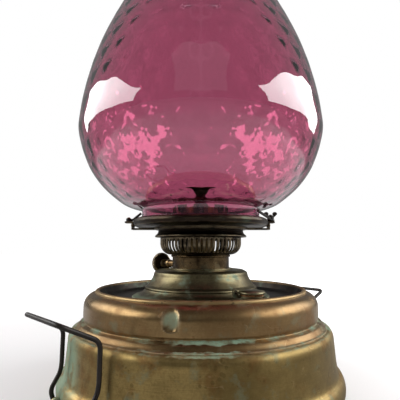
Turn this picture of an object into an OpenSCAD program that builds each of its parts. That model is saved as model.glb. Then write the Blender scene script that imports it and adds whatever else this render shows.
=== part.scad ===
// Oil heater lamp: a spun brass tank on a moulded foot, a round wick burner and a tinted glass globe.
// Millimetres, +Z up. The origin is the centre of the flat underside of the foot.
// Heights are stacked from the foot upwards, so each one is a size of its own piece.

/* [Tank] */
// Widest radius of the foot moulding
foot_r = 112; // [109:0.5:118]
// Height of the foot moulding
foot_h = 21; // [18:0.5:26]
// Radius of the lower drum under its shoulder
drum_r = 105.4; // [102:0.2:107]
// Height of the straight wall of the lower drum
wall_h = 21; // [16:0.5:30]
// Height of the rounded shoulder over that wall
shoulder_h = 7.4; // [6:0.2:9]
// How far the seam lies inside the drum's radius
shoulder_in = 4.4; // [3:0.2:6]
// Height of the moulded band between the seam and the groove
band_h = 5.2; // [4:0.2:7]
// Radius of the upper bulge
bulge_r = 95.1; // [92:0.2:98]
// Height of the bulge from its groove to the rim
bulge_h = 20.8; // [18:0.2:26]
// Radius of the rolled rim round the tray
rim_r = 84.8; // [82:0.2:86]
// Radius of the roll itself
roll_r = 1.8; // [1.5:0.1:2.4]
// Depth of the tray below the flange under the roll
tray_depth = 5.4; // [4:0.2:8]
// Thickness of the sheet brass
sheet = 1.0; // [0.8:0.1:1.3]
// Width across the dent pressed into the bulge
dent_w = 9.4; // [7:0.2:12]
// Height of that dent
dent_h = 14; // [12:0.5:16]
// Depth of that dent
dent_d = 2.0; // [1:0.1:2.5]
// Direction of the dent, in degrees from +X
dent_turn = 259; // [250:1:290]

/* [Dome] */
// Radius of the bead round the dome
dome_r = 47.2; // [45:0.2:50]
// Height of that bead above the tray floor
dome_bead_h = 7.6; // [6:0.2:9]
// Height of the dome above its bead
dome_h = 14.8; // [13:0.2:18]
// Radius of the skirt where it meets the tray
dome_skirt_r = 57.6; // [55:0.2:60]

/* [Filler] */
// Distance of the filler from the lamp's axis
filler_at = 67.8; // [67:0.2:69]
// Direction of the filler, in degrees from +X
filler_turn = 301.5; // [290:0.5:315]
// Outer radius of the filler's tube
filler_r = 7; // [6:0.1:7.4]
// Radius of the filler's flange and lid
filler_lid_r = 9.4; // [9:0.1:10]
// Height of the flange above the tray floor
filler_h = 6.2; // [5:0.2:8]
// Thickness of the filler's lid
filler_lid_t = 1.8; // [1.4:0.1:2.4]
// Thickness of the cork washer in the lid
washer_t = 1.4; // [1:0.1:2]

/* [Handles] */
// Radius of the handle wire
wire_r = 1.5; // [1.2:0.1:1.7]
// Half the distance between a handle's two legs
leg_half = 25.8; // [22:0.2:32]
// Gap between the lower drum and a leg
leg_gap = 3.4; // [2.6:0.1:5]
// Height of a handle's bend above the foot moulding
bend_h = 34.4; // [28:0.2:40]
// How far the hand grip stands out from the legs
grip_out = 25.9; // [18:0.2:32]
// How far the hand grip rises above the bend
grip_up = 12.6; // [8:0.2:16]
// Height of the pivots above the floor
pivot_h = 9.6; // [8.6:0.1:11]
// Direction of the left handle, in degrees from +X
left_turn = 224; // [215:1:235]
// Direction of the right handle, in degrees from +X
right_turn = 36; // [25:1:50]

/* [Burner] */
// Radius of the burner's neck
neck_r = 24.3; // [23:0.1:25]
// Height of the neck above its collar
neck_h = 9.2; // [8.6:0.1:12]
// Radius of the ribbed air basket
basket_r = 34.9; // [33:0.1:37]
// Height of the air basket
basket_h = 14.8; // [13:0.2:18]
// Number of slots round the air basket
slots = 56; // [40:1:64]
// Width of one slot
slot_w = 1.5; // [1:0.1:1.8]
// Radius of the lip over the air basket
lip_r = 39.5; // [38:0.1:41]
// Height of the skirt from the lip to the strap
skirt_h = 6.5; // [5:0.1:9]
// Outer radius of the round wick
wick_r = 10.8; // [9.6:0.1:11.6]
// Thickness of the wick
wick_t = 2.2; // [1.8:0.1:2.6]
// Height of the wick tube above the burner's deck
wick_tube_h = 21; // [18:0.5:26]
// Radius of the winder's shaft
shaft_r = 1.5; // [1.2:0.1:1.8]
// Radius of the spur wheels that lift the wick
wheel_r = 3.8; // [3.2:0.1:4.2]
// Direction in which the winder's shaft points, in degrees from +X
winder_turn = 126.3; // [120:0.1:132]
// Radius of the winder's knob
knob_r = 9.4; // [8:0.1:9.8]
// Thickness of the winder's knob
knob_t = 4.4; // [3:0.1:5]
// Gap between the dome's shoulder and the knob's inner face
knob_gap = 1.5; // [1:0.1:6]
// Number of milled teeth round the knob
knob_teeth = 40; // [30:1:48]
// Radius of the flame spreader
spreader_r = 17; // [13:0.5:19]

/* [Gallery] */
// Widest radius of the gallery pan
pan_r = 58; // [57:0.2:60]
// Height of the gallery pan
pan_h = 8.2; // [7.6:0.2:10]
// Thickness of the strap under the pan
strap_t = 1.4; // [1.2:0.1:1.8]
// Width of the strap
strap_w = 9; // [8.4:0.2:12]
// Radius of the pronged ring round the wick
prong_r = 23; // [21:0.2:25]
// Height of that ring with its prongs
prong_h = 20.6; // [18:0.2:22]
// Number of prongs
prongs = 8; // [6:1:10]
// Radius of the gallery's spring wires
clip_wire_r = 1.1; // [0.9:0.1:1.3]
// Span of the wing nut's wings
wing_span = 11.6; // [10:0.2:12.4]

/* [Glass] */
// Widest radius of the glass globe
glass_r = 104.7; // [98:0.5:108]
// Outer radius of the globe's foot
glass_foot_r = 50.8; // [49.8:0.1:51.4]
// Height of the globe's foot
glass_foot_h = 7.4; // [7:0.2:9]
// Height of the globe from its foot to its widest place
glass_low_h = 69; // [60:1:80]
// Height of the globe from its widest place to its neck
glass_high_h = 168; // [150:1:180]
// Radius of the globe's neck
glass_neck_r = 41; // [38:0.5:46]
// Radius of the globe's open mouth
glass_mouth_r = 46; // [43:0.5:52]
// Height of the mouth above the neck
glass_mouth_h = 19; // [14:0.5:24]
// Thickness of the glass
glass_t = 2.8; // [2.2:0.1:3.2]

/* [Hidden] */
$fn = 96;

// Clearances: a running fit, a loose sliding fit and a gap between bodies that pass each other
fit = 0.05;
slip = 0.2;
pass = 0.3;

// Heights of the tank's seams above the floor
z_shoulder = foot_h + wall_h;
z_seam = z_shoulder + shoulder_h;
z_groove = z_seam + band_h;
z_flange = z_groove + bulge_h;
z_tray = z_flange - tray_depth;
z_bead = z_tray + dome_bead_h;
z_dome = z_bead + dome_h;

// Radii of the tank's edges
wall_foot_r = drum_r + 1.4;
seam_r = drum_r - shoulder_in;
base_r = foot_r - 10.5;
tray_bore = neck_r + 3;
foot_bulge = 7;

// The collar in the dome, and the burner's stack on it
collar_flange_t = 1;
collar_wall = 1.6;
collar_depth = 8;
collar_bore = neck_r - 0.8;
plug_r = collar_bore - pass;
plug_wall = 1.2;
z_neck = z_dome + collar_flange_t;
z_neck_top = z_neck + neck_h;
neck_bead_h = 2;
z_basket = z_neck_top + neck_bead_h;
z_lip = z_basket + basket_h;
z_strap = z_lip + skirt_h;
z_pan = z_strap + strap_t;
z_seat = z_pan + pan_h;
burner_sheet = 0.8;
z_deck = z_strap - burner_sheet - 0.6;

// The wick and its tubes
tube_t = 0.8;
wick_tube_r = wick_r + slip;
draught_r = wick_r - wick_t - slip;
z_tube_top = z_deck + wick_tube_h;
z_wick_low = 14;
z_wick_top = z_tube_top - 1;
web_t = 1.6;

// The winder lies along a chord that passes the wick at the wheels' radius
z_shaft = z_neck + 3.2;
shaft_off = wick_r + slip + wheel_r;
gland_r = shaft_r + 1.5;
gland_in = 3;
gland_out = 9;
bracket_at = 7;
bracket_t = 1.4;
shaft_tail = 9;
neck_exit = sqrt(pow(neck_r, 2) - pow(shaft_off, 2));
dome_shoulder_r = dome_r - 6.8;
knob_at = sqrt(pow(dome_shoulder_r + knob_gap, 2) - pow(shaft_off, 2)) + knob_t / 2;

// Sizes of the filler's hinge
hinge_pin_r = 0.8;
knuckle_r = 1.8;
knuckle_w = 3.4;
filler_flange_t = 1.2;
z_filler_flange = z_tray + filler_h;
z_lid = z_filler_flange + filler_flange_t + washer_t;
filler_hinge_x = -(filler_lid_r + knuckle_r + pass);
z_filler_hinge = z_lid + hinge_pin_r;

// Handles: the legs clear the drum, and the pivots clear the foot
leg_c = sqrt(pow(drum_r + leg_gap + wire_r + 0.2, 2) - pow(leg_half, 2));
eye_w = 3.4;
eye_r = wire_r + 1.2;
eye_in = leg_half - wire_r - 2 * pass - eye_w;
pin_in = eye_in - 0.6;
pivot_c = sqrt(pow(foot_r + pass, 2) - pow(pin_in, 2)) + wire_r;
z_bend = foot_h + bend_h;

// The gallery's strap ends, clips and wing nut
strap_end_x = pan_r + 0.4;
rivet_r = 1.2;
rivet_head_r = 1.7;
z_rivet = z_pan + 2.6;
z_shelf = z_rivet + rivet_head_r + 0.1;
shelf_rim = 1.6;
clip_pin_r = 1;
clip_eye_r = clip_pin_r + 1.3;
clip_eye_h = 2 * clip_wire_r + 0.4;
clip_x = strap_end_x + strap_t + clip_eye_r + 0.9;
z_clip = z_shelf + strap_t + 0.1;
clip_tip_x = glass_foot_r + clip_wire_r + pass;
z_clip_tip = z_seat + glass_foot_h - clip_wire_r - 1.4;
stud_r = 1.2;
stud_eye_r = stud_r + clip_wire_r + 0.1;
nut_gap = 1;
stud_x = max(pan_r + stud_eye_r + clip_wire_r - 0.3, glass_foot_r + wing_span / 2 + nut_gap);
z_stud_wire = z_shelf + strap_t + clip_wire_r;
z_nut = z_stud_wire + clip_wire_r + 0.1;
nut_r = 3;
nut_h = 3;

// The globe
z_glass = z_seat;
z_wide = z_glass + glass_foot_h + glass_low_h;
z_glass_neck = z_wide + glass_high_h;
z_mouth = z_glass_neck + glass_mouth_h;

brass = [0.47, 0.37, 0.23];
dull_brass = [0.45, 0.43, 0.32];
dark_metal = [0.16, 0.13, 0.12];
black_wire = [0.08, 0.07, 0.06];
tray_metal = [0.24, 0.22, 0.21];
ruby = [0.75, 0.2, 0.42, 0.55];

// Points on an arc or a part of an ellipse
function arc(cx, cz, rx, rz, a0, a1, n) =
    [for (i = [0 : n]) let (a = a0 + (a1 - a0) * i / n) [cx + rx * cos(a), cz + rz * sin(a)]];

// Catmull-Rom curve through every point of p, with n steps to a stretch
function spline(p, n) = [for (i = [0 : len(p) - 2], k = [0 : i == len(p) - 2 ? n : n - 1])
    let (a = p[max(i - 1, 0)], b = p[i], c = p[i + 1], d = p[min(i + 2, len(p) - 1)], t = k / n)
    0.5 * (2 * b + (c - a) * t + (2 * a - 5 * b + 4 * c - d) * t * t
           + (3 * b - a - 3 * c + d) * t * t * t)];

// Unit vector, and the normal on the left of the way from a to b
function unit(v) = v / norm(v);
function left(a, b) = let (d = unit(b - a)) [-d[1], d[0]];

// The outline p moved t to its left, with mitred corners
function inset(p, t) = [for (i = [0 : len(p) - 1])
    let (m = i > 0 ? left(p[i - 1], p[i]) : left(p[0], p[1]),
         n = i < len(p) - 1 ? left(p[i], p[i + 1]) : m)
    p[i] + t * (m + n) / (1 + m * n)];

function reversed(p) = [for (i = [len(p) - 1 : -1 : 0]) p[i]];

// A spun sheet whose outer face follows p and whose thickness t lies on the left of it
module spun(p, t) {
    rotate_extrude() polygon(concat(p, reversed(inset(p, t))));
}

// A ring with a rectangular section
module ring(r_in, r_out, z0, z1) {
    rotate_extrude() translate([r_in, z0]) square([r_out - r_in, z1 - z0]);
}

// A path with its inner corners rounded by quadratic curves that start d from each corner
function rounded(p, d, n = 4) = concat([p[0]], [for (i = [1 : len(p) - 2], k = [0 : n])
    let (u = unit(p[i - 1] - p[i]), v = unit(p[i + 1] - p[i]), t = k / n,
         e = min(d, norm(p[i - 1] - p[i]) * 0.45, norm(p[i + 1] - p[i]) * 0.45))
    pow(1 - t, 2) * (p[i] + u * e) + 2 * t * (1 - t) * p[i] + t * t * (p[i] + v * e)],
    [p[len(p) - 1]]);

// Directions along a path, and a normal carried along it without twisting
function along(p, i) = unit(p[min(i + 1, len(p) - 1)] - p[max(i - 1, 0)]);
function square_to(v, d) = unit(v - d * (v * d));
function normals(p, start) = [for (i = 0, n = square_to(start, along(p, 0)); i < len(p);
    i = i + 1, n = i < len(p) ? square_to(n, along(p, i)) : n) n];

// A closed round wire of radius r along the path p
module wire(p, r, start, sides = 10) {
    ns = normals(p, start);
    count = len(p);
    points = [for (i = [0 : count - 1], k = [0 : sides - 1])
        let (b = cross(along(p, i), ns[i]), a = 360 * k / sides)
        p[i] + r * (cos(a) * ns[i] + sin(a) * b)];
    walls = [for (i = [0 : count - 2], k = [0 : sides - 1], half = [0, 1])
        let (m = (k + 1) % sides, a = i * sides)
        half == 0 ? [a + k, a + sides + k, a + sides + m] : [a + k, a + sides + m, a + m]];
    caps = [[for (k = [0 : sides - 1]) k],
            [for (k = [sides - 1 : -1 : 0]) (count - 1) * sides + k]];
    polyhedron(points = points, faces = concat(walls, caps));
}

// Outer face of the foot and the lower drum, from the turned-in edge up to the seam
function foot_line() = concat(
    [[base_r, 0]],
    arc(foot_r - foot_bulge, foot_h * 0.46, foot_bulge, foot_h * 0.46, -90, 62, 10),
    [[wall_foot_r + 0.6, foot_h * 0.95], [wall_foot_r, foot_h * 1.06]]);
function drum_line() = concat(
    foot_line(),
    arc(seam_r + 0.4, z_shoulder, drum_r - seam_r - 0.4, shoulder_h, 0, 84, 7),
    [[seam_r - 6, z_seam]]);

module lower_drum() {
    color(brass) spun(drum_line(), sheet);
}

// The plate that closes the tank lies flush in the foot, and its stepped edge rests on the foot's
module base_plate() {
    lap = 2.4;
    color(brass) spun(
        [[0, 0], [base_r - fit, 0], [base_r - fit, sheet], [base_r + lap, sheet]], sheet);
}

// Outer face of the upper drum, from its edge on the lower drum to the flange under the rim
function bulge_line() = let (round_h = bulge_h * 0.45) concat(
    [[seam_r, z_seam], [seam_r, z_seam + 0.6]],
    [[seam_r - 1.6, z_seam + band_h * 0.3], [bulge_r + 2.2, z_seam + band_h * 0.8],
     [bulge_r + 0.4, z_groove - 0.2], [bulge_r - 0.9, z_groove + 0.5],
     [bulge_r - 0.8, z_groove + 1.6], [bulge_r - 0.2, z_groove + 3.4]],
    arc(rim_r + 0.8, z_flange - round_h, bulge_r - rim_r - 0.8, round_h, 0, 80, 9),
    [[rim_r + 2.2, z_flange], [rim_r - 0.2, z_flange]]);

// The dent is a capsule: two balls and the cylinder between them
module dent_capsule(grow) {
    ball_r = (pow(dent_w / 2, 2) + pow(dent_d, 2)) / (2 * dent_d);
    half = (dent_h - dent_w) / 2;
    dent_z = z_flange - bulge_h * 0.4;
    rotate([0, 0, dent_turn]) translate([bulge_r + ball_r - dent_d, 0, dent_z]) {
        translate([0, 0, -half]) cylinder(r = ball_r + grow, h = 2 * half);
        translate([0, 0, half]) sphere(r = ball_r + grow + 0.01);
        translate([0, 0, -half]) sphere(r = ball_r + grow + 0.01);
    }
}

module bulge_solid() {
    rotate_extrude() polygon(concat([[0, z_seam]], bulge_line(), [[0, z_flange]]));
}

module upper_drum() {
    color(brass) {
        difference() {
            spun(bulge_line(), sheet);
            dent_capsule(0);
        }
        difference() {
            intersection() {
                bulge_solid();
                dent_capsule(sheet);
            }
            dent_capsule(0);
        }
    }
}

// Upper face of the tray, from the roll's outer edge to the bore under the dome
function tray_line() = concat(
    [[rim_r + roll_r, z_flange]],
    arc(rim_r, z_flange + 0.5, roll_r, roll_r, 0, 180, 12),
    arc(rim_r - roll_r - 4.6, z_tray + 3.6, 3.2, 3.6, -20, -90, 5),
    [[tray_bore, z_tray]]);

module at_filler() {
    translate([filler_at * cos(filler_turn), filler_at * sin(filler_turn), 0]) children();
}

module tray_top() {
    color(tray_metal) difference() {
        spun(tray_line(), sheet);
        at_filler() translate([0, 0, z_tray - 5]) cylinder(r = filler_r + fit, h = 10);
    }
}

module dome() {
    top_r = dome_r - 9.7;
    color(dull_brass) spun(concat(
        [[dome_skirt_r, z_tray], [dome_skirt_r, z_tray + 0.5]],
        spline([[dome_skirt_r - 0.6, z_tray + 1.2], [dome_skirt_r - 5, z_tray + 2.6],
                [dome_r + 2, z_tray + 4.4], [dome_r + 0.2, z_bead - 1.5]], 3),
        arc(dome_r - 1.5, z_bead, 1.5, 1.5, -30, 60, 4),
        spline([[dome_r - 2.6, z_bead + 2.6], [dome_r - 5.1, z_bead + dome_h * 0.4],
                [dome_shoulder_r, z_bead + dome_h * 0.63], [dome_r - 7.8, z_bead + dome_h * 0.85],
                [top_r, z_dome - 0.9]], 3),
        [[top_r - 1.6, z_dome - 0.2], [top_r - 3.4, z_dome],
         [collar_bore + collar_wall + fit, z_dome]]), sheet);
}

module burner_collar() {
    color(dull_brass) {
        ring(collar_bore, collar_bore + collar_wall, z_dome - collar_depth, z_neck);
        ring(collar_bore, collar_bore + collar_wall + 2, z_dome, z_neck);
    }
}

// The filler: a tube with a flange, two knuckles beside it, and a lid that turns on their pin
module filler_knuckle(y0, y1, grow) {
    translate([filler_hinge_x, y0, z_filler_hinge]) rotate([-90, 0, 0])
        cylinder(r = knuckle_r + grow, h = y1 - y0);
}

module filler_bore(r) {
    translate([filler_hinge_x, -10, z_filler_hinge]) rotate([-90, 0, 0]) cylinder(r = r, h = 20);
}

module filler_neck() {
    side_w = 2.2;
    color(dull_brass) at_filler() difference() {
        union() {
            translate([0, 0, z_tray - 6]) cylinder(r = filler_r, h = filler_h + 6);
            translate([0, 0, z_filler_flange]) cylinder(r = filler_lid_r, h = filler_flange_t);
            for (s = [-1, 1]) {
                y0 = s > 0 ? knuckle_w / 2 + slip : -knuckle_w / 2 - slip - side_w;
                filler_knuckle(y0, y0 + side_w, 0);
                translate([filler_hinge_x - knuckle_r, y0, z_filler_flange])
                    cube([2 * knuckle_r + 3, side_w, filler_flange_t]);
                translate([filler_hinge_x - knuckle_r, y0, z_filler_flange])
                    cube([2 * knuckle_r, side_w, z_filler_hinge - z_filler_flange]);
            }
        }
        translate([0, 0, z_tray - 8]) cylinder(r = filler_r - 1.1, h = filler_h + 20);
        filler_bore(hinge_pin_r);
    }
}

module filler_pin() {
    pin_half = knuckle_w / 2 + 3.4;
    color(dark_metal) at_filler() translate([filler_hinge_x, -pin_half, z_filler_hinge])
        rotate([-90, 0, 0]) cylinder(r = hinge_pin_r, h = 2 * pin_half);
}

module filler_washer() {
    color("tan") at_filler() translate([0, 0, z_lid - washer_t]) difference() {
        cylinder(r = filler_lid_r - 1.2, h = washer_t);
        translate([0, 0, -1]) cylinder(r = filler_r - 2.2, h = washer_t + 2);
    }
}

module filler_lid() {
    rise = 0.9;
    tongue_w = knuckle_w;
    color(dull_brass) at_filler() difference() {
        union() {
            translate([0, 0, z_lid]) rotate_extrude() polygon(concat(
                [[0, 0], [filler_lid_r, 0], [filler_lid_r, filler_lid_t * 0.6]],
                [[filler_lid_r - 0.7, filler_lid_t], [filler_lid_r * 0.5, filler_lid_t + rise * 0.8],
                 [0, filler_lid_t + rise]]));
            filler_knuckle(-tongue_w / 2, tongue_w / 2, 0);
            translate([filler_hinge_x, -tongue_w / 2, z_lid])
                cube([4.5, tongue_w, filler_lid_t * 0.6]);
        }
        filler_bore(hinge_pin_r + fit);
    }
}

// Handle parts are drawn with X outwards, Y along the pivots, and turned to their place
module foot_solid() {
    rotate_extrude($fn = 360) polygon(concat([[0, 0]], foot_line(), [[0, foot_h * 1.06]]));
}

module handle_eye(s) {
    translate([0, s > 0 ? eye_in : -eye_in - eye_w, 0]) difference() {
        union() {
            translate([pivot_c, 0, pivot_h]) rotate([-90, 0, 0]) cylinder(r = eye_r, h = eye_w);
            translate([pivot_c - 8, 0, pivot_h - eye_r * 0.8]) cube([8, eye_w, 1.6 * eye_r]);
        }
        translate([pivot_c, -1, pivot_h]) rotate([-90, 0, 0])
            cylinder(r = wire_r + fit, h = eye_w + 2);
    }
}

module handle_eyes() {
    color(brass) difference() {
        for (turn = [left_turn, right_turn], s = [-1, 1]) rotate([0, 0, turn]) handle_eye(s);
        foot_solid();
    }
}

module handle(turn) {
    bow = 2.2;
    half = [[pivot_c, leg_half, pivot_h], [pivot_c + bow, leg_half, pivot_h + 7],
            [leg_c + 0.8, leg_half, pivot_h + 17], [leg_c, leg_half, pivot_h + 22],
            [leg_c, leg_half, z_bend], [leg_c + grip_out, leg_half, z_bend + grip_up]];
    other = [for (p = reversed(half)) [p[0], -p[1], p[2]]];
    color(black_wire) rotate([0, 0, turn]) {
        wire(rounded(concat(half, other), 5, 3), wire_r, [0, 1, 0]);
        for (s = [-1, 1])
            translate([pivot_c, s > 0 ? pin_in : -leg_half - wire_r, pivot_h])
                rotate([-90, 0, 0]) cylinder(r = wire_r, h = leg_half + wire_r - pin_in);
    }
}

module handle_left() {
    handle(left_turn);
}

module handle_right() {
    handle(right_turn);
}

// The winder's own frame: X runs outwards along the shaft, and Y points from the wick to it
module at_winder() {
    rotate([0, 0, winder_turn]) translate([0, shaft_off, z_shaft]) children();
}

module along_shaft(x0, x1, r) {
    translate([x0, 0, 0]) rotate([0, 90, 0]) cylinder(r = r, h = x1 - x0);
}

module burner_neck() {
    color(dull_brass) difference() {
        union() {
            ring(plug_r - plug_wall, neck_r, z_neck, z_neck_top);
            ring(plug_r - plug_wall, plug_r, z_dome - collar_depth, z_neck + 0.5);
        }
        at_winder() along_shaft(neck_exit - 8, neck_exit + 10, gland_r + fit);
    }
}

module neck_bead() {
    color(dull_brass) rotate_extrude() polygon(concat(
        [[plug_r - plug_wall, z_neck_top]],
        arc(neck_r, z_neck_top + neck_bead_h / 2, 1.3, neck_bead_h / 2, -90, 90, 8),
        [[plug_r - plug_wall, z_basket]]));
}

module air_basket() {
    slot_low = 2.4;
    slot_high = 2.6;
    color(dark_metal) difference() {
        spun(concat(
            [[wick_tube_r + tube_t + fit, z_basket], [neck_r, z_basket]],
            arc(neck_r + 1, z_basket + basket_h * 0.66, basket_r - neck_r - 1, basket_h * 0.66,
                -84, 0, 9),
            [[basket_r, z_lip]]), burner_sheet);
        for (i = [0 : slots - 1]) rotate([0, 0, i * 360 / slots])
            translate([neck_r + 2, -slot_w / 2, z_basket + slot_low])
                cube([basket_r - neck_r, slot_w, basket_h - slot_low - slot_high]);
    }
}

module burner_skirt() {
    color(dark_metal) spun([
        [basket_r - 1.6, z_lip], [lip_r, z_lip], [lip_r, z_lip + 1.4],
        [lip_r - 1.8, z_lip + skirt_h * 0.42], [lip_r - 2.6, z_lip + skirt_h * 0.66],
        [lip_r - 2.8, z_strap]], burner_sheet);
}

// A pierced deck inside the skirt steadies the wick tube
module burner_deck() {
    deck_r = lip_r - 2.8 - burner_sheet - fit;
    holes = 12;
    hole_r = 3.4;
    color(dark_metal) difference() {
        union() {
            ring(wick_tube_r + tube_t + fit, deck_r, z_deck, z_deck + burner_sheet);
            ring(deck_r - burner_sheet, deck_r, z_lip + burner_sheet, z_deck + 0.1);
        }
        for (i = [0 : holes - 1]) rotate([0, 0, i * 360 / holes])
            translate([(wick_tube_r + deck_r) / 2 + 0.5, 0, z_deck - 1]) cylinder(r = hole_r, h = 3);
    }
}

module wick_tube() {
    window_w = 11;
    window_h = 2 * wheel_r + 3;
    color(brass) difference() {
        ring(wick_tube_r, wick_tube_r + tube_t, z_neck - collar_depth, z_tube_top);
        at_winder() translate([-window_w / 2, -shaft_off + wick_tube_r * 0.5, -window_h / 2])
            cube([window_w, wick_tube_r, window_h]);
    }
}

// The draught tube hangs on a web that runs out to the wick tube through the wick's slit
module draught_tube() {
    color(brass) {
        ring(draught_r - tube_t, draught_r, z_basket + 1.5, z_tube_top + 1);
        difference() {
            rotate([0, 0, winder_turn - 90]) translate([draught_r - 0.3, -web_t / 2, z_basket + 3])
                cube([wick_tube_r - draught_r + 2, web_t, 12]);
            ring(wick_tube_r, wick_tube_r + 20, z_basket, z_basket + 20);
        }
    }
}

module winder_gland() {
    color(brass) at_winder() difference() {
        union() {
            along_shaft(neck_exit - gland_in, neck_exit + gland_out, gland_r);
            along_shaft(neck_exit + gland_out - 3, neck_exit + gland_out, gland_r + 0.5);
        }
        along_shaft(neck_exit - 20, neck_exit + 20, shaft_r + fit);
    }
}

module winder_bracket() {
    reach = gland_r + 0.3;
    color(brass) difference() {
        at_winder() difference() {
            union() {
                translate([-bracket_at - bracket_t, -shaft_off + 4, -3])
                    cube([bracket_t, shaft_off - 4, 6]);
                translate([-bracket_at - bracket_t, 0, 0]) rotate([0, 90, 0])
                    cylinder(r = reach, h = bracket_t);
            }
            along_shaft(-20, 20, shaft_r + fit);
        }
        translate([0, 0, z_shaft - 10]) cylinder(r = wick_tube_r + tube_t, h = 20);
    }
}

module winder_shaft() {
    color(dark_metal) at_winder() along_shaft(-shaft_tail, knob_at + knob_t / 2 + 0.8, shaft_r);
}

module spur_wheels() {
    teeth = 12;
    bite = 0.7;
    wheel_t = 1.4;
    spread = 2.2;
    color(brass) at_winder() difference() {
        for (x = [-spread, spread]) translate([x - wheel_t / 2, 0, 0]) rotate([0, 90, 0])
            linear_extrude(wheel_t) polygon([for (i = [0 : 2 * teeth - 1])
                let (r = i % 2 == 0 ? wheel_r : wheel_r - bite, a = i * 180 / teeth)
                [r * cos(a), r * sin(a)]]);
        along_shaft(-20, 20, shaft_r);
    }
}

module winder_knob() {
    notch = 0.35;
    boss_r = 3.6;
    boss_l = 3.2;
    color(dark_metal) at_winder() difference() {
        union() {
            translate([knob_at - knob_t / 2, 0, 0]) rotate([0, 90, 0])
                linear_extrude(knob_t) polygon([for (i = [0 : 2 * knob_teeth - 1])
                    let (r = i % 2 == 0 ? knob_r : knob_r - notch, a = i * 180 / knob_teeth)
                    [r * cos(a), r * sin(a)]]);
            along_shaft(knob_at - knob_t / 2 - boss_l, knob_at, boss_r);
        }
        along_shaft(0, knob_at + 20, shaft_r);
    }
}

// The wick is a round tube with a slit along it, and reaches down into the oil
module wick() {
    slit = web_t + 2 * pass;
    color("wheat") difference() {
        ring(wick_r - wick_t, wick_r, z_wick_low, z_wick_top);
        rotate([0, 0, winder_turn - 90]) translate([0, -slit / 2, z_wick_low - 1])
            cube([wick_r * 2, slit, z_wick_top - z_wick_low + 2]);
    }
}

// The spreader is a disc on a waisted pedestal that stands on the draught tube
module flame_spreader() {
    foot_z = z_tube_top + 1;
    tall = 15;
    color(dark_metal) difference() {
        rotate_extrude() polygon(concat(
            [[0, foot_z], [draught_r, foot_z], [draught_r, foot_z + 1]],
            spline([[draught_r - 1.4, foot_z + 1.6], [spreader_r * 0.3, foot_z + tall * 0.35],
                    [spreader_r * 0.42, foot_z + tall * 0.62],
                    [spreader_r, foot_z + tall - 1.8]], 4),
            [[spreader_r, foot_z + tall - 0.8], [spreader_r - 1.6, foot_z + tall - 0.2],
             [spreader_r * 0.4, foot_z + tall + 0.4], [0, foot_z + tall + 0.4]]));
        translate([0, 0, foot_z - 1]) cylinder(r = 2, h = 8);
    }
}

module spreader_stem() {
    hub_r = draught_r - tube_t - slip;
    color(dark_metal) {
        translate([0, 0, z_tube_top - 22]) cylinder(r = 2, h = 28);
        for (i = [0 : 2]) rotate([0, 0, i * 120]) translate([0, -0.7, z_tube_top - 18])
            cube([hub_r, 1.4, 6]);
    }
}

// One end of the strap: it turns up beside the pan, and out again as a shelf as long as reach
module strap_end(reach) {
    translate([lip_r - 3, -strap_w / 2, z_strap])
        cube([strap_end_x + strap_t - lip_r + 3, strap_w, strap_t]);
    translate([strap_end_x, -strap_w / 2, z_strap])
        cube([strap_t, strap_w, z_shelf - z_strap + strap_t]);
    translate([strap_end_x, -strap_w / 2, z_shelf]) cube([reach - strap_end_x, strap_w, strap_t]);
}

// The strap: a ring on the skirt with two arms
module gallery_strap() {
    color(dark_metal) difference() {
        union() {
            ring(lip_r - 5, lip_r + 1, z_strap, z_pan);
            strap_end(stud_x + stud_r + shelf_rim);
            rotate([0, 0, 180]) strap_end(clip_x + clip_pin_r + shelf_rim);
        }
        ring(lip_r - 20, lip_r - 5, z_strap - 1, z_pan + 1);
        translate([-clip_x, 0, z_shelf - 1]) cylinder(r = clip_pin_r, h = strap_t + 2);
        translate([-pan_r - 10, 0, z_rivet]) rotate([0, 90, 0])
            cylinder(r = rivet_r, h = 2 * pan_r + 20);
        translate([stud_x, 0, z_shelf - 1]) cylinder(r = stud_r, h = strap_t + 2);
    }
}

// The pan is one hollow pressing: flat under, round at the side, and a ledge that carries the globe
module gallery_pan() {
    color(dark_metal) difference() {
        spun(concat(
            [[prong_r - 1, z_pan], [pan_r - 6, z_pan]],
            spline([[pan_r - 4, z_pan + 0.3], [pan_r - 1.2, z_pan + 1.6],
                    [pan_r - 0.3, z_pan + pan_h * 0.42], [pan_r, z_pan + pan_h * 0.6],
                    [pan_r - 0.9, z_pan + pan_h * 0.84], [pan_r - 3.4, z_pan + pan_h * 0.98]], 2),
            [[pan_r - 4.4, z_seat], [glass_foot_r - glass_t - 1.6, z_seat]]), 1);
        for (s = [0, 180]) rotate([0, 0, s]) translate([pan_r - 6, 0, z_rivet])
            rotate([0, 90, 0]) cylinder(r = rivet_r, h = 12);
    }
}

module strap_rivets() {
    inner = pan_r - 2.2;
    color(brass) for (s = [0, 180]) rotate([0, 0, s]) {
        translate([inner, 0, z_rivet]) rotate([0, 90, 0])
            cylinder(r = rivet_r, h = strap_end_x + strap_t - inner + 0.5);
        translate([strap_end_x + strap_t, 0, z_rivet]) rotate([0, 90, 0])
            cylinder(r1 = rivet_head_r, r2 = rivet_head_r - 0.7, h = 1);
    }
}

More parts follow.
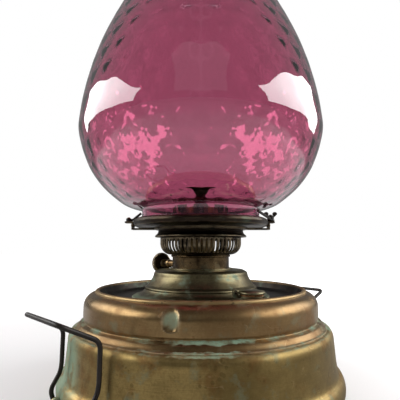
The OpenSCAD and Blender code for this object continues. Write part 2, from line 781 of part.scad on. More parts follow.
// The pronged ring: a tube cut into prongs, with an eye curled on the outside of each
module prong_ring() {
    wall = 0.9;
    tube_h = prong_h * 0.55;
    gap_w = 2 * PI * prong_r / prongs * 0.35;
    eye_major = 2.5;
    eye_minor = 0.7;
    color(dark_metal) {
        difference() {
            ring(prong_r - wall, prong_r, z_pan + 1, z_pan + prong_h);
            for (i = [0 : prongs - 1]) rotate([0, 0, (i + 0.5) * 360 / prongs])
                translate([prong_r - 5, -gap_w / 2, z_pan + tube_h])
                    cube([10, gap_w, prong_h]);
        }
        for (i = [0 : prongs - 1]) rotate([0, 0, i * 360 / prongs])
            translate([prong_r + eye_minor - 0.25, 0, z_pan + prong_h * 0.76])
                rotate([0, 90, 0]) rotate_extrude() translate([eye_major, 0]) circle(r = eye_minor);
    }
}

module clip_pin() {
    head_t = 0.9;
    z_head = z_clip + clip_eye_h + 0.1;
    color(brass) translate([-clip_x, 0, 0]) {
        translate([0, 0, z_shelf]) cylinder(r = clip_pin_r, h = z_head - z_shelf);
        translate([0, 0, z_head]) cylinder(r1 = clip_pin_r + 0.7, r2 = clip_pin_r, h = head_t);
    }
}

// The left clip: an eye on the pin, and a wire that leans in under the globe's swell
module clip_left() {
    z_eye = z_clip + clip_eye_h / 2;
    color(black_wire) difference() {
        union() {
            translate([-clip_x, 0, z_clip]) cylinder(r = clip_eye_r, h = clip_eye_h);
            wire(rounded([[-clip_x + clip_pin_r + 0.4, 0, z_eye], [-clip_x + clip_eye_r + 1.3, 0, z_eye],
                          [-clip_tip_x, 0, z_clip_tip]], 2), clip_wire_r, [0, 1, 0]);
        }
        translate([-clip_x, 0, z_clip - 1]) cylinder(r = clip_pin_r + fit, h = clip_eye_h + 2);
    }
}

// The right clip: a wire with an eye on the stud and an arm along the globe's foot
module clip_right() {
    tip_turn = -28;
    color(black_wire) {
        translate([stud_x, 0, z_stud_wire]) rotate_extrude() translate([stud_eye_r, 0])
            circle(r = clip_wire_r);
        wire(rounded([[stud_x - 0.4, -stud_eye_r - 0.1, z_stud_wire],
                      [stud_x - 1.8, -stud_eye_r - 4, z_stud_wire + 1],
                      [clip_tip_x * cos(tip_turn), clip_tip_x * sin(tip_turn), z_clip_tip]], 2),
             clip_wire_r, [0, 0, 1]);
    }
}

module wing_stud() {
    color(dark_metal) translate([stud_x, 0, z_shelf])
        cylinder(r = stud_r, h = z_nut + nut_h + 0.8 - z_shelf);
}

// The wing nut: a hub with two wings that lean out
module wing_nut() {
    wing_t = 1.3;
    wing_h = 4.6;
    color(black_wire) translate([stud_x, 0, z_nut]) difference() {
        union() {
            cylinder(r = nut_r, h = nut_h);
            rotate([90, 0, 0]) translate([0, 0, -wing_t / 2]) linear_extrude(wing_t)
                for (s = [0, 1]) mirror([s, 0]) polygon(concat(
                    [[nut_r * 0.7, 0.4], [nut_r * 0.7, nut_h]],
                    arc(wing_span / 2 - 2, wing_h, 2, 1.6, 180, -60, 8)));
        }
        translate([0, 0, -1]) cylinder(r = stud_r + fit, h = nut_h + 2);
    }
}

// Outer face of the globe, from its foot to its open mouth
function globe_line() = let (r = glass_r, b = z_wide, h = glass_low_h, u = glass_high_h) concat(
    [[glass_foot_r, z_glass], [glass_foot_r, z_glass + glass_foot_h - 1]],
    spline([[glass_foot_r + 0.7, z_glass + glass_foot_h],
            [r * 0.58, b - h * 0.97], [r * 0.67, b - h * 0.9], [r * 0.81, b - h * 0.715],
            [r * 0.912, b - h * 0.494], [r * 0.979, b - h * 0.222], [r, b],
            [r * 0.96, b + u * 0.18], [r * 0.882, b + u * 0.367], [r * 0.76, b + u * 0.56],
            [r * 0.623, b + u * 0.727], [glass_neck_r + 4.5, b + u * 0.91],
            [glass_neck_r, z_glass_neck], [glass_mouth_r - 2.2, z_mouth - glass_mouth_h * 0.35],
            [glass_mouth_r, z_mouth]], 4));

module glass_globe() {
    color(ruby) spun(globe_line(), glass_t);
}

lower_drum();
base_plate();
upper_drum();
tray_top();
dome();
burner_collar();
filler_neck();
filler_pin();
filler_washer();
filler_lid();
handle_eyes();
handle_left();
handle_right();
burner_neck();
neck_bead();
air_basket();
burner_skirt();
burner_deck();
wick_tube();
draught_tube();
winder_gland();
winder_bracket();
winder_shaft();
spur_wheels();
winder_knob();
wick();
flame_spreader();
spreader_stem();
gallery_strap();
gallery_pan();
strap_rivets();
prong_ring();
clip_pin();
clip_left();
clip_right();
wing_stud();
wing_nut();
glass_globe();
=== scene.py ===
from math import radians

import bmesh
import bpy
import numpy as np
from bpy.props import FloatProperty, FloatVectorProperty, IntProperty, PointerProperty
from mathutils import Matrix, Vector


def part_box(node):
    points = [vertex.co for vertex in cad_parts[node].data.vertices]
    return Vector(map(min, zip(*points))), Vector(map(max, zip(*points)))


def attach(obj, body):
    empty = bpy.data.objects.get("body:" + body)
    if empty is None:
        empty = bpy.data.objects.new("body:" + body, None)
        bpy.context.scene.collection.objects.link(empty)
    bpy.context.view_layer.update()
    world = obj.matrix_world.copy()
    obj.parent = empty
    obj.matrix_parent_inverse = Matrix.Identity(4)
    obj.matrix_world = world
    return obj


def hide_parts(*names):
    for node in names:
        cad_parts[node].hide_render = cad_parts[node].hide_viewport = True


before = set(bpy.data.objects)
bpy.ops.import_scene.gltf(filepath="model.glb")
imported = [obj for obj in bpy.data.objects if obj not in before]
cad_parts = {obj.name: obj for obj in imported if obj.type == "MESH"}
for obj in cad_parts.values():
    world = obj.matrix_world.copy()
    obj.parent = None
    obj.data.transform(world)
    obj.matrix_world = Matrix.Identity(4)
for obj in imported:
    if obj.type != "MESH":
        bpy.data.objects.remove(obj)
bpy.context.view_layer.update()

bl_info = {
    "name": "Oil heater lamp",
    "version": (1, 0, 0),
    "blender": (4, 5, 0),
    "location": "View3D > Sidebar > Lamp",
    "description": "Dresses the oil heater lamp in aged brass, black wire, cotton and ruby glass",
    "category": "Object",
}

# Outlines are worked out in millimetres, and grid_piece turns them into metres
MM = 0.001

# The body that each finished piece rides on, and the material slot of the record it belongs to
BODY = {
    "tank": ["lower_drum", "base_plate", "upper_drum", "tray_top", "dome", "burner_collar",
             "filler_neck", "filler_pin", "handle_eyes"],
    "filler_cap": ["filler_washer", "filler_lid"],
    "left_bail": ["handle_left"],
    "right_bail": ["handle_right"],
    "burner": ["burner_neck", "neck_bead", "air_basket", "burner_skirt", "burner_deck",
               "wick_tube", "draught_tube", "winder_gland", "winder_bracket"],
    "winder": ["winder_shaft", "spur_wheels", "winder_knob"],
    "wick_carrier": ["wick"],
    "spreader": ["flame_spreader", "spreader_stem"],
    "gallery": ["gallery_strap", "gallery_pan", "strap_rivets", "prong_ring", "clip_pin",
                "wing_stud"],
    "left_clip": ["clip_left"],
    "right_clip": ["clip_right"],
    "clamp_nut": ["wing_nut"],
    "globe": ["glass_globe"],
}
FINISH = {
    "drum_brass": ("aged_brass", ["lower_drum", "base_plate", "handle_eyes"]),
    "bulge_brass": ("aged_brass", ["upper_drum"]),
    "dome_brass": ("dull_brass", ["dome", "burner_collar", "filler_neck", "filler_lid"]),
    "neck_brass": ("dull_brass", ["burner_neck", "neck_bead"]),
    "burner_bronze": ("burner_bronze", ["air_basket", "burner_skirt", "burner_deck",
                                        "gallery_strap", "gallery_pan", "prong_ring",
                                        "flame_spreader", "spreader_stem",
                                        "winder_shaft", "wing_stud", "filler_pin"]),
    "knob_bronze": ("burner_bronze", ["winder_knob"]),
    "bright_brass": ("warm_brass", ["wick_tube", "draught_tube", "winder_gland",
                                    "winder_bracket", "spur_wheels", "strap_rivets",
                                    "clip_pin"]),
    "tray_plate": ("tray_metal", ["tray_top"]),
    "black_wire": ("black_wire", ["handle_left", "handle_right", "clip_left", "clip_right",
                                  "wing_nut"]),
    "cork_sheet": ("cork", ["filler_washer"]),
    "wick_cotton": ("wick_cotton", ["wick"]),
    "ruby_glass": ("ruby_glass", ["glass_globe"]),
}


def linear(red, green, blue):
    """Linear colour of a screen colour that is given from 0 to 255."""
    c = np.array([red, green, blue]) / 255.0
    value = np.where(c <= 0.04045, c / 12.92, ((c + 0.055) / 1.055) ** 2.4)
    return tuple(float(v) for v in value)


def solid(colour):
    """A colour property as a colour socket takes it."""
    return tuple(colour)[:3] + (1.0,)


class LampSizes(bpy.types.PropertyGroup):
    """Sizes that the finish adds to those of the frame."""

    drum_radius: FloatProperty(
        name="Drum radius", description="Radius of the lower drum under its shoulder",
        default=105.4 * MM, unit="LENGTH")
    bulge_radius: FloatProperty(
        name="Bulge radius", description="Radius of the upper bulge",
        default=95.1 * MM, unit="LENGTH")
    dome_radius: FloatProperty(
        name="Dome radius", description="Radius of the bead round the dome",
        default=47.2 * MM, unit="LENGTH")
    sheet: FloatProperty(
        name="Sheet", description="Thickness of the tank's sheet brass",
        default=1.0 * MM, unit="LENGTH")
    burner_sheet: FloatProperty(
        name="Burner sheet", description="Thickness of the burner's sheet",
        default=0.8 * MM, unit="LENGTH")
    dent_width: FloatProperty(
        name="Dent width", description="Width across the dent in the bulge",
        default=9.4 * MM, unit="LENGTH")
    dent_height: FloatProperty(
        name="Dent height", description="Height of the dent in the bulge",
        default=14 * MM, unit="LENGTH")
    dent_depth: FloatProperty(
        name="Dent depth", description="Depth of the dent in the bulge",
        default=1.3 * MM, unit="LENGTH")
    dent_turn: FloatProperty(
        name="Dent direction", description="Direction of the dent from +X",
        default=radians(259), subtype="ANGLE")
    slots: IntProperty(
        name="Slots", description="Number of slots round the air basket", default=56)
    wire_radius: FloatProperty(
        name="Handle wire", description="Radius of the handle wire",
        default=1.5 * MM, unit="LENGTH")
    glass_wall: FloatProperty(
        name="Glass wall", description="Thickness of the globe's glass",
        default=2.8 * MM, unit="LENGTH")
    dimples: IntProperty(
        name="Dimples", description="Number of pressed dimples in one ring of the globe",
        default=32)
    dimple_depth: FloatProperty(
        name="Dimple depth", description="Depth of a dimple at the globe's widest place",
        default=0.55 * MM, unit="LENGTH")


class LampColours(bpy.types.PropertyGroup):
    """Colours of the lamp's finishes."""

    brass: FloatVectorProperty(
        name="Brass", description="Colour of the tank's brass", subtype="COLOR",
        default=linear(156, 131, 91))
    dull_brass: FloatVectorProperty(
        name="Dull brass", description="Colour of the dome's greyed brass", subtype="COLOR",
        default=linear(118, 109, 80))
    bronze: FloatVectorProperty(
        name="Bronze", description="Colour of the burner and gallery", subtype="COLOR",
        default=linear(56, 46, 38))
    tray: FloatVectorProperty(
        name="Tray", description="Colour of the dark tray", subtype="COLOR",
        default=linear(44, 41, 37))
    wire: FloatVectorProperty(
        name="Wire", description="Colour of the blackened wire", subtype="COLOR",
        default=linear(26, 23, 21))
    verdigris: FloatVectorProperty(
        name="Verdigris", description="Colour of the green in the hollows", subtype="COLOR",
        default=linear(132, 158, 134))
    cotton: FloatVectorProperty(
        name="Cotton", description="Colour of the wick", subtype="COLOR",
        default=linear(214, 196, 160))
    cork: FloatVectorProperty(
        name="Cork", description="Colour of the cork washer", subtype="COLOR",
        default=linear(168, 124, 78))
    glass: FloatVectorProperty(
        name="Glass", description="Tint of one wall of the ruby glass", subtype="COLOR",
        default=(0.80, 0.35, 0.49))


def sizes():
    """The lamp's own sizes."""
    return bpy.context.scene.lamp_sizes


def colours():
    """The lamp's own colours."""
    return bpy.context.scene.lamp_colours


def low(node):
    """Height of a node's underside, in millimetres."""
    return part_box(node)[0][2] / MM


def top(node):
    """Height of a node's top, in millimetres."""
    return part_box(node)[1][2] / MM


def wide(node):
    """Reach of a node along +X, which is the radius of a turned piece, in millimetres."""
    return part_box(node)[1][0] / MM


def arc(cx, cz, rx, rz, start, end, steps):
    """Points cx + rx cos a, cz + rz sin a, with a running evenly from start to end degrees."""
    a = np.radians(np.linspace(start, end, steps + 1))
    return np.stack([cx + rx * np.cos(a), cz + rz * np.sin(a)], axis=1)


def spline(points, steps):
    """Catmull-Rom curve through every point, with the given steps to a stretch."""
    p = np.asarray(points, float)
    q = np.vstack([p[:1], p, p[-1:]])
    t = np.linspace(0, 1, steps, endpoint=False)[:, None, None]
    a, b, c, d = (q[k:k + len(p) - 1] for k in range(4))
    curve = 0.5 * (2 * b + (c - a) * t + (2 * a - 5 * b + 4 * c - d) * t ** 2
                   + (3 * b - a - 3 * c + d) * t ** 3)
    return np.vstack([curve.transpose(1, 0, 2).reshape(-1, p.shape[1]), p[-1:]])


def joined(*parts):
    """One outline from arcs, curves and single points."""
    return np.vstack([np.atleast_2d(part) for part in parts])


def divided(outline, step):
    """The outline with its long stretches cut evenly, so that none is longer than step."""
    cuts = np.ceil(np.linalg.norm(np.diff(outline, axis=0), axis=1) / step).astype(int)
    cuts = np.maximum(cuts, 1)
    first = np.repeat(np.arange(len(cuts)), cuts)
    share = (np.arange(cuts.sum()) - np.repeat(np.cumsum(cuts) - cuts, cuts)) / cuts[first]
    made = outline[first] + (outline[first + 1] - outline[first]) * share[:, None]
    return np.vstack([made, outline[-1:]])


def evenly(outline, count):
    """The outline as count points at equal distances along it."""
    run = np.concatenate([[0], np.cumsum(np.linalg.norm(np.diff(outline, axis=0), axis=1))])
    at = np.linspace(0, run[-1], count)
    return np.stack([np.interp(at, run, outline[:, k]) for k in (0, 1)], axis=1)


def inner_face(outline, thickness):
    """The outline moved to its left by the sheet's thickness, with mitred corners."""
    d = np.diff(outline, axis=0)
    d = d / np.linalg.norm(d, axis=1)[:, None]
    n = np.stack([-d[:, 1], d[:, 0]], axis=1)
    before = np.vstack([n[:1], n])
    after = np.vstack([n, n[-1:]])
    return outline + thickness * (before + after) / (1 + (before * after).sum(1))[:, None]


def turned(outline, around, relief=None):
    """Surface of revolution of a closed outline: row i is the circle of radius r[i] at height z[i].

    Relief, in millimetres, moves each point along the outline's own outward normal.
    """
    turn = np.arange(around) * 2 * np.pi / around
    d = np.roll(outline, -1, axis=0) - np.roll(outline, 1, axis=0)
    n = np.stack([d[:, 1], -d[:, 0]], axis=1) / np.maximum(np.linalg.norm(d, axis=1), 1e-9)[:, None]
    shift = np.zeros((len(outline), around)) if relief is None else relief
    r = outline[:, :1] + n[:, :1] * shift
    z = outline[:, 1:] + n[:, 1:] * shift
    return np.stack([r * np.cos(turn), r * np.sin(turn), z], axis=-1)


def sheet_piece(outer, thickness, around, relief=None, inner=None):
    """Points of a spun sheet: the outer face, then the inner face back again.

    The inner face is dented like the outer one, unless it has a relief of its own.
    """
    outline = np.vstack([outer, inner_face(outer, thickness)[::-1]])
    if relief is None:
        return turned(outline, around)
    back = -relief if inner is None else inner
    return turned(outline, around, np.vstack([relief, back[::-1]]))


def swept(path, radius, sides):
    """Round wire along a path: a circle square to the path at each station, closed at both ends.

    The first normal is carried from station to station by taking off its part along the path.
    """
    path = np.asarray(path, float)
    ahead = np.gradient(path, axis=0)
    ahead /= np.linalg.norm(ahead, axis=1)[:, None]
    normals = [np.cross(ahead[0], [0.3, 0.2, 1.0])]
    for direction in ahead:
        carried = normals[-1] - direction * (normals[-1] @ direction)
        normals.append(carried / np.linalg.norm(carried))
    n = np.array(normals[1:])
    b = np.cross(ahead, n)
    a = np.arange(sides) * 2 * np.pi / sides
    ring = np.cos(a)[None, :, None] * n[:, None] + np.sin(a)[None, :, None] * b[:, None]
    wire = path[:, None] + radius * ring
    caps = [np.repeat(path[k][None, None], sides, axis=1) for k in (0, -1)]
    return np.vstack([caps[0], wire, caps[1]])


def rounded(corners, reach, steps):
    """A path whose corners are quadratic curves that start at the given reach from each corner."""
    p = np.asarray(corners, float)
    t = np.linspace(0, 1, steps + 1)[:, None]
    stretches = [p[:1]]
    for before, corner, after in zip(p[:-2], p[1:-1], p[2:]):
        u = (before - corner) / np.linalg.norm(before - corner)
        v = (after - corner) / np.linalg.norm(after - corner)
        e = min(reach, 0.45 * np.linalg.norm(before - corner), 0.45 * np.linalg.norm(after - corner))
        stretches.append((1 - t) ** 2 * (corner + u * e) + 2 * t * (1 - t) * corner
                         + t ** 2 * (corner + v * e))
    return np.vstack(stretches + [p[-1:]])


def body_of(node):
    """Name of the body that a node's piece rides on."""
    return next(body for body, nodes in BODY.items() if node in nodes)


def finish_of(node):
    """Name of a node's finish, and the record's slot for it."""
    return next((name, slot) for name, (slot, nodes) in FINISH.items() if node in nodes)


def seat(piece, node):
    """Give a piece its finish and its body, and hide its node so that the piece stands for it."""
    name, slot = finish_of(node)
    piece.data.materials.clear()
    label = name + "_finish"
    piece.data.materials.append(bpy.data.materials.get(label) or MATERIAL_MAKERS[name](label))
    bpy.context.scene.collection.objects.link(piece)
    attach(piece, body_of(node))
    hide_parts(node)
    return piece


def smooth(mesh, angle=36):
    """Shade a mesh smoothly, with its edges sharp where faces meet at more than the angle."""
    mesh.shade_smooth()
    mesh.set_sharp_from_angle(angle=radians(angle))


def grid_piece(node, points, closed_rows=True, closed_columns=True, kept=None):
    """Finished piece from a grid of points in millimetres.

    Each face joins a point to the next one round, the next one along, and the one beyond both.
    Points that fall together, as at a pole, are merged.
    """
    rows, columns = points.shape[:2]
    index = np.arange(rows * columns).reshape(rows, columns)
    beside = np.roll(index, -1, axis=1)
    quads = np.stack([index, beside, np.roll(beside, -1, axis=0), np.roll(index, -1, axis=0)],
                     axis=-1)
    quads = quads[:rows if closed_rows else rows - 1, :columns if closed_columns else columns - 1]
    quads = quads[kept] if kept is not None else quads
    mesh = bpy.data.meshes.new(node + "_finished")
    mesh.from_pydata((points.reshape(-1, 3) * MM).tolist(), [], quads.reshape(-1, 4).tolist())
    edit = bmesh.new()
    edit.from_mesh(mesh)
    bmesh.ops.remove_doubles(edit, verts=edit.verts, dist=1e-7)
    loose = [vertex for vertex in edit.verts if not vertex.link_faces]
    bmesh.ops.delete(edit, geom=loose, context="VERTS")
    edit.to_mesh(mesh)
    edit.free()
    smooth(mesh)
    return seat(bpy.data.objects.new(node + "_finished", mesh), node)


def refined_piece(node, bevel):
    """Copy of a frame node, merged, its flat faces joined and its edges rounded by a bevel in mm."""
    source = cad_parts[node]
    mesh = source.data.copy()
    mesh.name = node + "_finished"
    mesh.transform(source.matrix_world)
    for label in ("custom_normal", "sharp_face", "sharp_edge"):
        if label in mesh.attributes:
            mesh.attributes.remove(mesh.attributes[label])
    edit = bmesh.new()
    edit.from_mesh(mesh)
    bmesh.ops.remove_doubles(edit, verts=edit.verts, dist=2e-6)
    bmesh.ops.dissolve_limit(edit, angle_limit=radians(0.6), verts=edit.verts, edges=edit.edges)
    edit.to_mesh(mesh)
    edit.free()
    smooth(mesh)
    piece = bpy.data.objects.new(node + "_finished", mesh)
    if bevel:
        edge = piece.modifiers.new("Rounded edges", "BEVEL")
        edge.width = bevel * MM
        edge.segments = 2
        edge.limit_method = "ANGLE"
        edge.angle_limit = radians(42)
    return seat(piece, node)


def add(tree, kind, inputs=None, **settings):
    """Add a node, set it up, and give its inputs numbers, colours or other nodes' outputs."""
    made = tree.nodes.new(kind)
    for key, value in settings.items():
        setattr(made, key, value)
    for key, value in (inputs or {}).items():
        if isinstance(value, bpy.types.NodeSocket):
            tree.links.new(value, made.inputs[key])
        else:
            made.inputs[key].default_value = value
    return made


def calc(tree, operation, *values, clamp=False):
    """Output of a Math node."""
    return add(tree, "ShaderNodeMath", dict(enumerate(values)), operation=operation,
               use_clamp=clamp).outputs[0]


def blend(tree, factor, first, second):
    """Colour that goes from the first to the second with the factor."""
    return add(tree, "ShaderNodeMix", {0: factor, 6: first, 7: second}, data_type="RGBA",
               blend_type="MIX").outputs[2]


def ramp(tree, value, start, end, low_value=0.0, high_value=1.0):
    """Value mapped smoothly from the stretch start to end onto low_value to high_value."""
    return add(tree, "ShaderNodeMapRange", {
        "Value": value, "From Min": start, "From Max": end, "To Min": low_value,
        "To Max": high_value}, interpolation_type="SMOOTHSTEP").outputs[0]


def noise(tree, vector, scale, detail=4.0, rough=0.55):
    """Height of a noise texture."""
    return add(tree, "ShaderNodeTexNoise", {
        "Vector": vector, "Scale": scale, "Detail": detail, "Roughness": rough}).outputs[0]


def group(name, inputs, outputs):
    """New shader group with number or vector inputs and number outputs."""
    tree = bpy.data.node_groups.new(name, "ShaderNodeTree")
    for label, default in inputs:
        kind = "NodeSocketVector" if default is None else "NodeSocketFloat"
        socket = tree.interface.new_socket(name=label, in_out="INPUT", socket_type=kind)
        if default is not None:
            socket.default_value = default
    for label in outputs:
        tree.interface.new_socket(name=label, in_out="OUTPUT", socket_type="NodeSocketFloat")
    return tree, tree.nodes.new("NodeGroupInput").outputs, tree.nodes.new("NodeGroupOutput").inputs


def use(tree, group_name, output=0, **inputs):
    """Place a group in a material with its own values."""
    maker = GROUP_MAKERS[group_name]
    shared = bpy.data.node_groups.get(group_name) or maker(group_name)
    return add(tree, "ShaderNodeGroup", inputs, node_tree=shared).outputs[output]


def tarnish_group(name):
    """Cloudy patches: noise on the object's own coordinates, cut between Low and High."""
    tree, given, result = group(name, [("Vector", None), ("Scale", 20.0), ("Low", 0.4),
                                       ("High", 0.65)], ["Mask"])
    cloud = noise(tree, given["Vector"], given["Scale"], 7.0, 0.6)
    tree.links.new(ramp(tree, cloud, given["Low"], given["High"]), result["Mask"])
    return tree


def turning_group(name):
    """Marks of spinning: noise that depends only on the radius and the height."""
    tree, given, result = group(name, [("Vector", None), ("Lines", 2600.0)], ["Height"])
    parts = add(tree, "ShaderNodeSeparateXYZ", {0: given["Vector"]}).outputs
    squares = calc(tree, "ADD", calc(tree, "MULTIPLY", parts[0], parts[0]),
                   calc(tree, "MULTIPLY", parts[1], parts[1]))
    flat = add(tree, "ShaderNodeCombineXYZ", {0: calc(tree, "SQRT", squares), 1: parts[2]})
    tree.links.new(noise(tree, flat.outputs[0], given["Lines"], 3.0, 0.7), result["Height"])
    return tree


def hairline_group(name):
    """Hairline scratches: thin lines where a stretched noise passes its middle, broken by another."""
    tree, given, result = group(name, [("Vector", None), ("Scale", 40.0), ("Width", 0.012)],
                                ["Mask"])
    stretched = add(tree, "ShaderNodeMapping", {
        "Vector": given["Vector"], "Rotation": (0.4, 0.9, 0.5), "Scale": (1.0, 0.25, 1.6)})
    wave = noise(tree, stretched.outputs[0], given["Scale"], 0.0, 0.5)
    away = calc(tree, "ABSOLUTE", calc(tree, "SUBTRACT", wave, 0.5))
    line = ramp(tree, away, given["Width"], 0.0)
    broken = ramp(tree, noise(tree, given["Vector"], 90.0, 2.0), 0.52, 0.6)
    tree.links.new(calc(tree, "MULTIPLY", line, broken), result["Mask"])
    return tree


def speck_group(name):
    """Small specks: round spots about scattered points, of uneven size."""
    tree, given, result = group(name, [("Vector", None), ("Scale", 300.0), ("Size", 0.16)],
                                ["Mask"])
    cells = add(tree, "ShaderNodeTexVoronoi", {"Vector": given["Vector"], "Scale": given["Scale"]})
    uneven = calc(tree, "MULTIPLY", given["Size"],
                  ramp(tree, noise(tree, given["Vector"], 90.0, 2.0), 0.42, 0.68, 0.0, 1.6))
    spot = calc(tree, "LESS_THAN", cells.outputs[0], uneven)
    tree.links.new(spot, result["Mask"])
    return tree


def band_group(name):
    """Dirt in a groove: a frayed band about one height of the object."""
    tree, given, result = group(name, [("Vector", None), ("Height", 0.05), ("Half", 0.001),
                                       ("Fray", 0.003)], ["Mask"])
    z = add(tree, "ShaderNodeSeparateXYZ", {0: given["Vector"]}).outputs[2]
    fray = calc(tree, "MULTIPLY", calc(tree, "SUBTRACT", noise(tree, given["Vector"], 160.0, 5.0),
                                       0.5), given["Fray"])
    away = calc(tree, "ABSOLUTE", calc(tree, "SUBTRACT", calc(tree, "ADD", z, fray),
                                       given["Height"]))
    wide_end = calc(tree, "MULTIPLY", given["Half"], 1.8)
    full = ramp(tree, away, wide_end, given["Half"])
    thin = ramp(tree, noise(tree, given["Vector"], 34.0, 9.0, 0.72), 0.42, 0.6)
    tree.links.new(calc(tree, "MULTIPLY", full, thin), result["Mask"])
    return tree


def edge_group(name):
    """Rubbed edges: where the surface bends outwards more than Low."""
    tree, given, result = group(name, [("Vector", None), ("Low", 0.505), ("High", 0.53)], ["Mask"])
    bend = add(tree, "ShaderNodeNewGeometry").outputs["Pointiness"]
    rub = ramp(tree, noise(tree, given["Vector"], 120.0, 5.0), 0.3, 0.6)
    tree.links.new(calc(tree, "MULTIPLY", ramp(tree, bend, given["Low"], given["High"]), rub),
                   result["Mask"])
    return tree


GROUP_MAKERS = {"tarnish": tarnish_group, "turning_marks": turning_group,
                "hairlines": hairline_group, "specks": speck_group, "groove_dirt": band_group,
                "rubbed_edges": edge_group}


def blank_material(name):
    """Empty material, its tree, its object coordinates and its output."""
    made = bpy.data.materials.new(name)
    made.use_nodes = True
    made.node_tree.nodes.clear()
    tree = made.node_tree
    place = add(tree, "ShaderNodeTexCoord").outputs["Object"]
    return made, tree, place, tree.nodes.new("ShaderNodeOutputMaterial").inputs["Surface"]


def aged_metal(name, base, dark, bright, tarnish, green=0.0, bands=(), spots=(), metal=1.0,
               rough=0.34, clouds=0.6, stains=0.5, wear=0.4, specks=0.5, lines=0.35,
               brass_beyond=None):
    """Aged metal: spinning marks, clouds, stains, hairlines, specks, green hollows, rubbed edges."""
    made, tree, place, surface = blank_material(name)
    cloud = use(tree, "tarnish", Vector=place, Scale=13.0, Low=0.38, High=0.66)
    stain = use(tree, "tarnish", Vector=place, Scale=46.0, Low=0.5, High=0.68)
    grain = noise(tree, place, 700.0, 3.0, 0.65)
    marks = use(tree, "turning_marks", Vector=place, Lines=2400.0)
    hair = use(tree, "hairlines", Vector=place, Scale=70.0, Width=0.008)
    spot = use(tree, "specks", Vector=place, Scale=260.0, Size=0.2)
    edge = use(tree, "rubbed_edges", Vector=place)
    patch = use(tree, "tarnish", Vector=place, Scale=75.0, Low=0.54, High=0.68)
    damp = calc(tree, "MULTIPLY", patch, green)
    fleck = use(tree, "tarnish", Vector=place, Scale=150.0, Low=0.42, High=0.7)
    broken = ramp(tree, noise(tree, place, 70.0, 9.0, 0.7), 0.36, 0.54)
    for height, half, amount in bands:
        band = use(tree, "groove_dirt", Vector=place, Height=height * MM, Half=half * MM)
        damp = calc(tree, "MAXIMUM", damp, calc(tree, "MULTIPLY", band, amount))
    for point, radius, amount in spots:
        away = add(tree, "ShaderNodeVectorMath", {0: place, 1: [c * MM for c in point]},
                   operation="DISTANCE").outputs["Value"]
        hollow = calc(tree, "MULTIPLY", ramp(tree, away, radius * MM, radius * 0.5 * MM), broken)
        damp = calc(tree, "MAXIMUM", damp, calc(tree, "MULTIPLY", hollow, amount))
    colour = blend(tree, calc(tree, "MULTIPLY", cloud, clouds), solid(base), solid(dark))
    colour = blend(tree, calc(tree, "MULTIPLY", stain, stains), colour, solid(tarnish))
    colour = blend(tree, ramp(tree, grain, 0.35, 0.7, 0.0, 0.3), colour, solid(dark))
    colour = blend(tree, calc(tree, "MULTIPLY", fleck, 0.35), colour, solid(dark))
    colour = blend(tree, ramp(tree, marks, 0.4, 0.7, 0.0, 0.3), colour, solid(dark))
    if brass_beyond:
        parts = add(tree, "ShaderNodeSeparateXYZ", {0: place}).outputs
        squares = calc(tree, "ADD", calc(tree, "MULTIPLY", parts[0], parts[0]),
                       calc(tree, "MULTIPLY", parts[1], parts[1]))
        outside = ramp(tree, calc(tree, "SQRT", squares), (brass_beyond - 0.8) * MM,
                       brass_beyond * MM)
        colour = blend(tree, outside, colour, solid(colours().brass))
    colour = blend(tree, calc(tree, "MULTIPLY", edge, wear), colour, solid(bright))
    colour = blend(tree, calc(tree, "MULTIPLY", hair, 0.14), colour, solid(bright))
    colour = blend(tree, calc(tree, "MULTIPLY", spot, specks), colour, solid(dark))
    colour = blend(tree, damp, colour, solid(colours().verdigris))
    dull = calc(tree, "ADD", calc(tree, "MULTIPLY", stain, 0.16), calc(tree, "MULTIPLY", damp, 0.4))
    dull = calc(tree, "ADD", dull, ramp(tree, cloud, 0.0, 1.0, rough - 0.06, rough + 0.08))
    height = calc(tree, "MULTIPLY", marks, lines)
    for value, amount in ((grain, 0.3), (stain, 0.25), (spot, -0.5), (hair, -0.4), (damp, 0.8)):
        height = calc(tree, "ADD", height, calc(tree, "MULTIPLY", value, amount))
    bump = add(tree, "ShaderNodeBump", {"Strength": 0.55, "Distance": 0.12 * MM, "Height": height})
    shader = add(tree, "ShaderNodeBsdfPrincipled", {
        "Base Color": colour, "Roughness": calc(tree, "MINIMUM", dull, 1.0),
        "Metallic": calc(tree, "MULTIPLY", calc(tree, "SUBTRACT", 1.0, damp), metal),
        "Normal": bump.outputs[0]})
    tree.links.new(shader.outputs[0], surface)
    return made


def drum_brass(name):
    """Olive brass of the lower drum, with red-brown stains and a green line under the seam."""
    seam = top("lower_drum")
    behind_handle = (-96, -44, 28)
    return aged_metal(name, linear(172, 148, 94), linear(100, 84, 50), linear(236, 208, 160),
                      linear(122, 84, 48), green=0.25, bands=[(seam, 0.6, 0.8)], rough=0.4,
                      spots=[(behind_handle, 40, 0.85)], clouds=0.75, stains=0.7,
                      wear=0.6)


def bulge_brass(name):
    """Warm brass of the bulge, with green in its groove and in its dent."""
    s = sizes()
    groove = low("upper_drum") + 5.6
    dent_z = top("upper_drum") - 8.3
    at = s.bulge_radius / MM - 1.5
    dent = (at * np.cos(s.dent_turn), at * np.sin(s.dent_turn), dent_z)
    return aged_metal(name, colours().brass, linear(112, 86, 56), linear(244, 216, 174),
                      linear(128, 90, 58), green=0.2,
                      bands=[(groove, 0.7, 0.9), (low("upper_drum") + 0.9, 0.4, 0.85)],
                      spots=[(dent, 6.5, 0.6)], rough=0.33, clouds=0.6, stains=0.4)


def dome_brass(name):
    """Grey-green brass of the dome and the filler."""
    return aged_metal(name, colours().dull_brass, linear(62, 56, 42), linear(190, 182, 148),
                      linear(84, 68, 46), green=0.45, bands=[(low("dome") + 1.5, 1.0, 0.5)],
                      rough=0.38, clouds=0.7, stains=0.5)


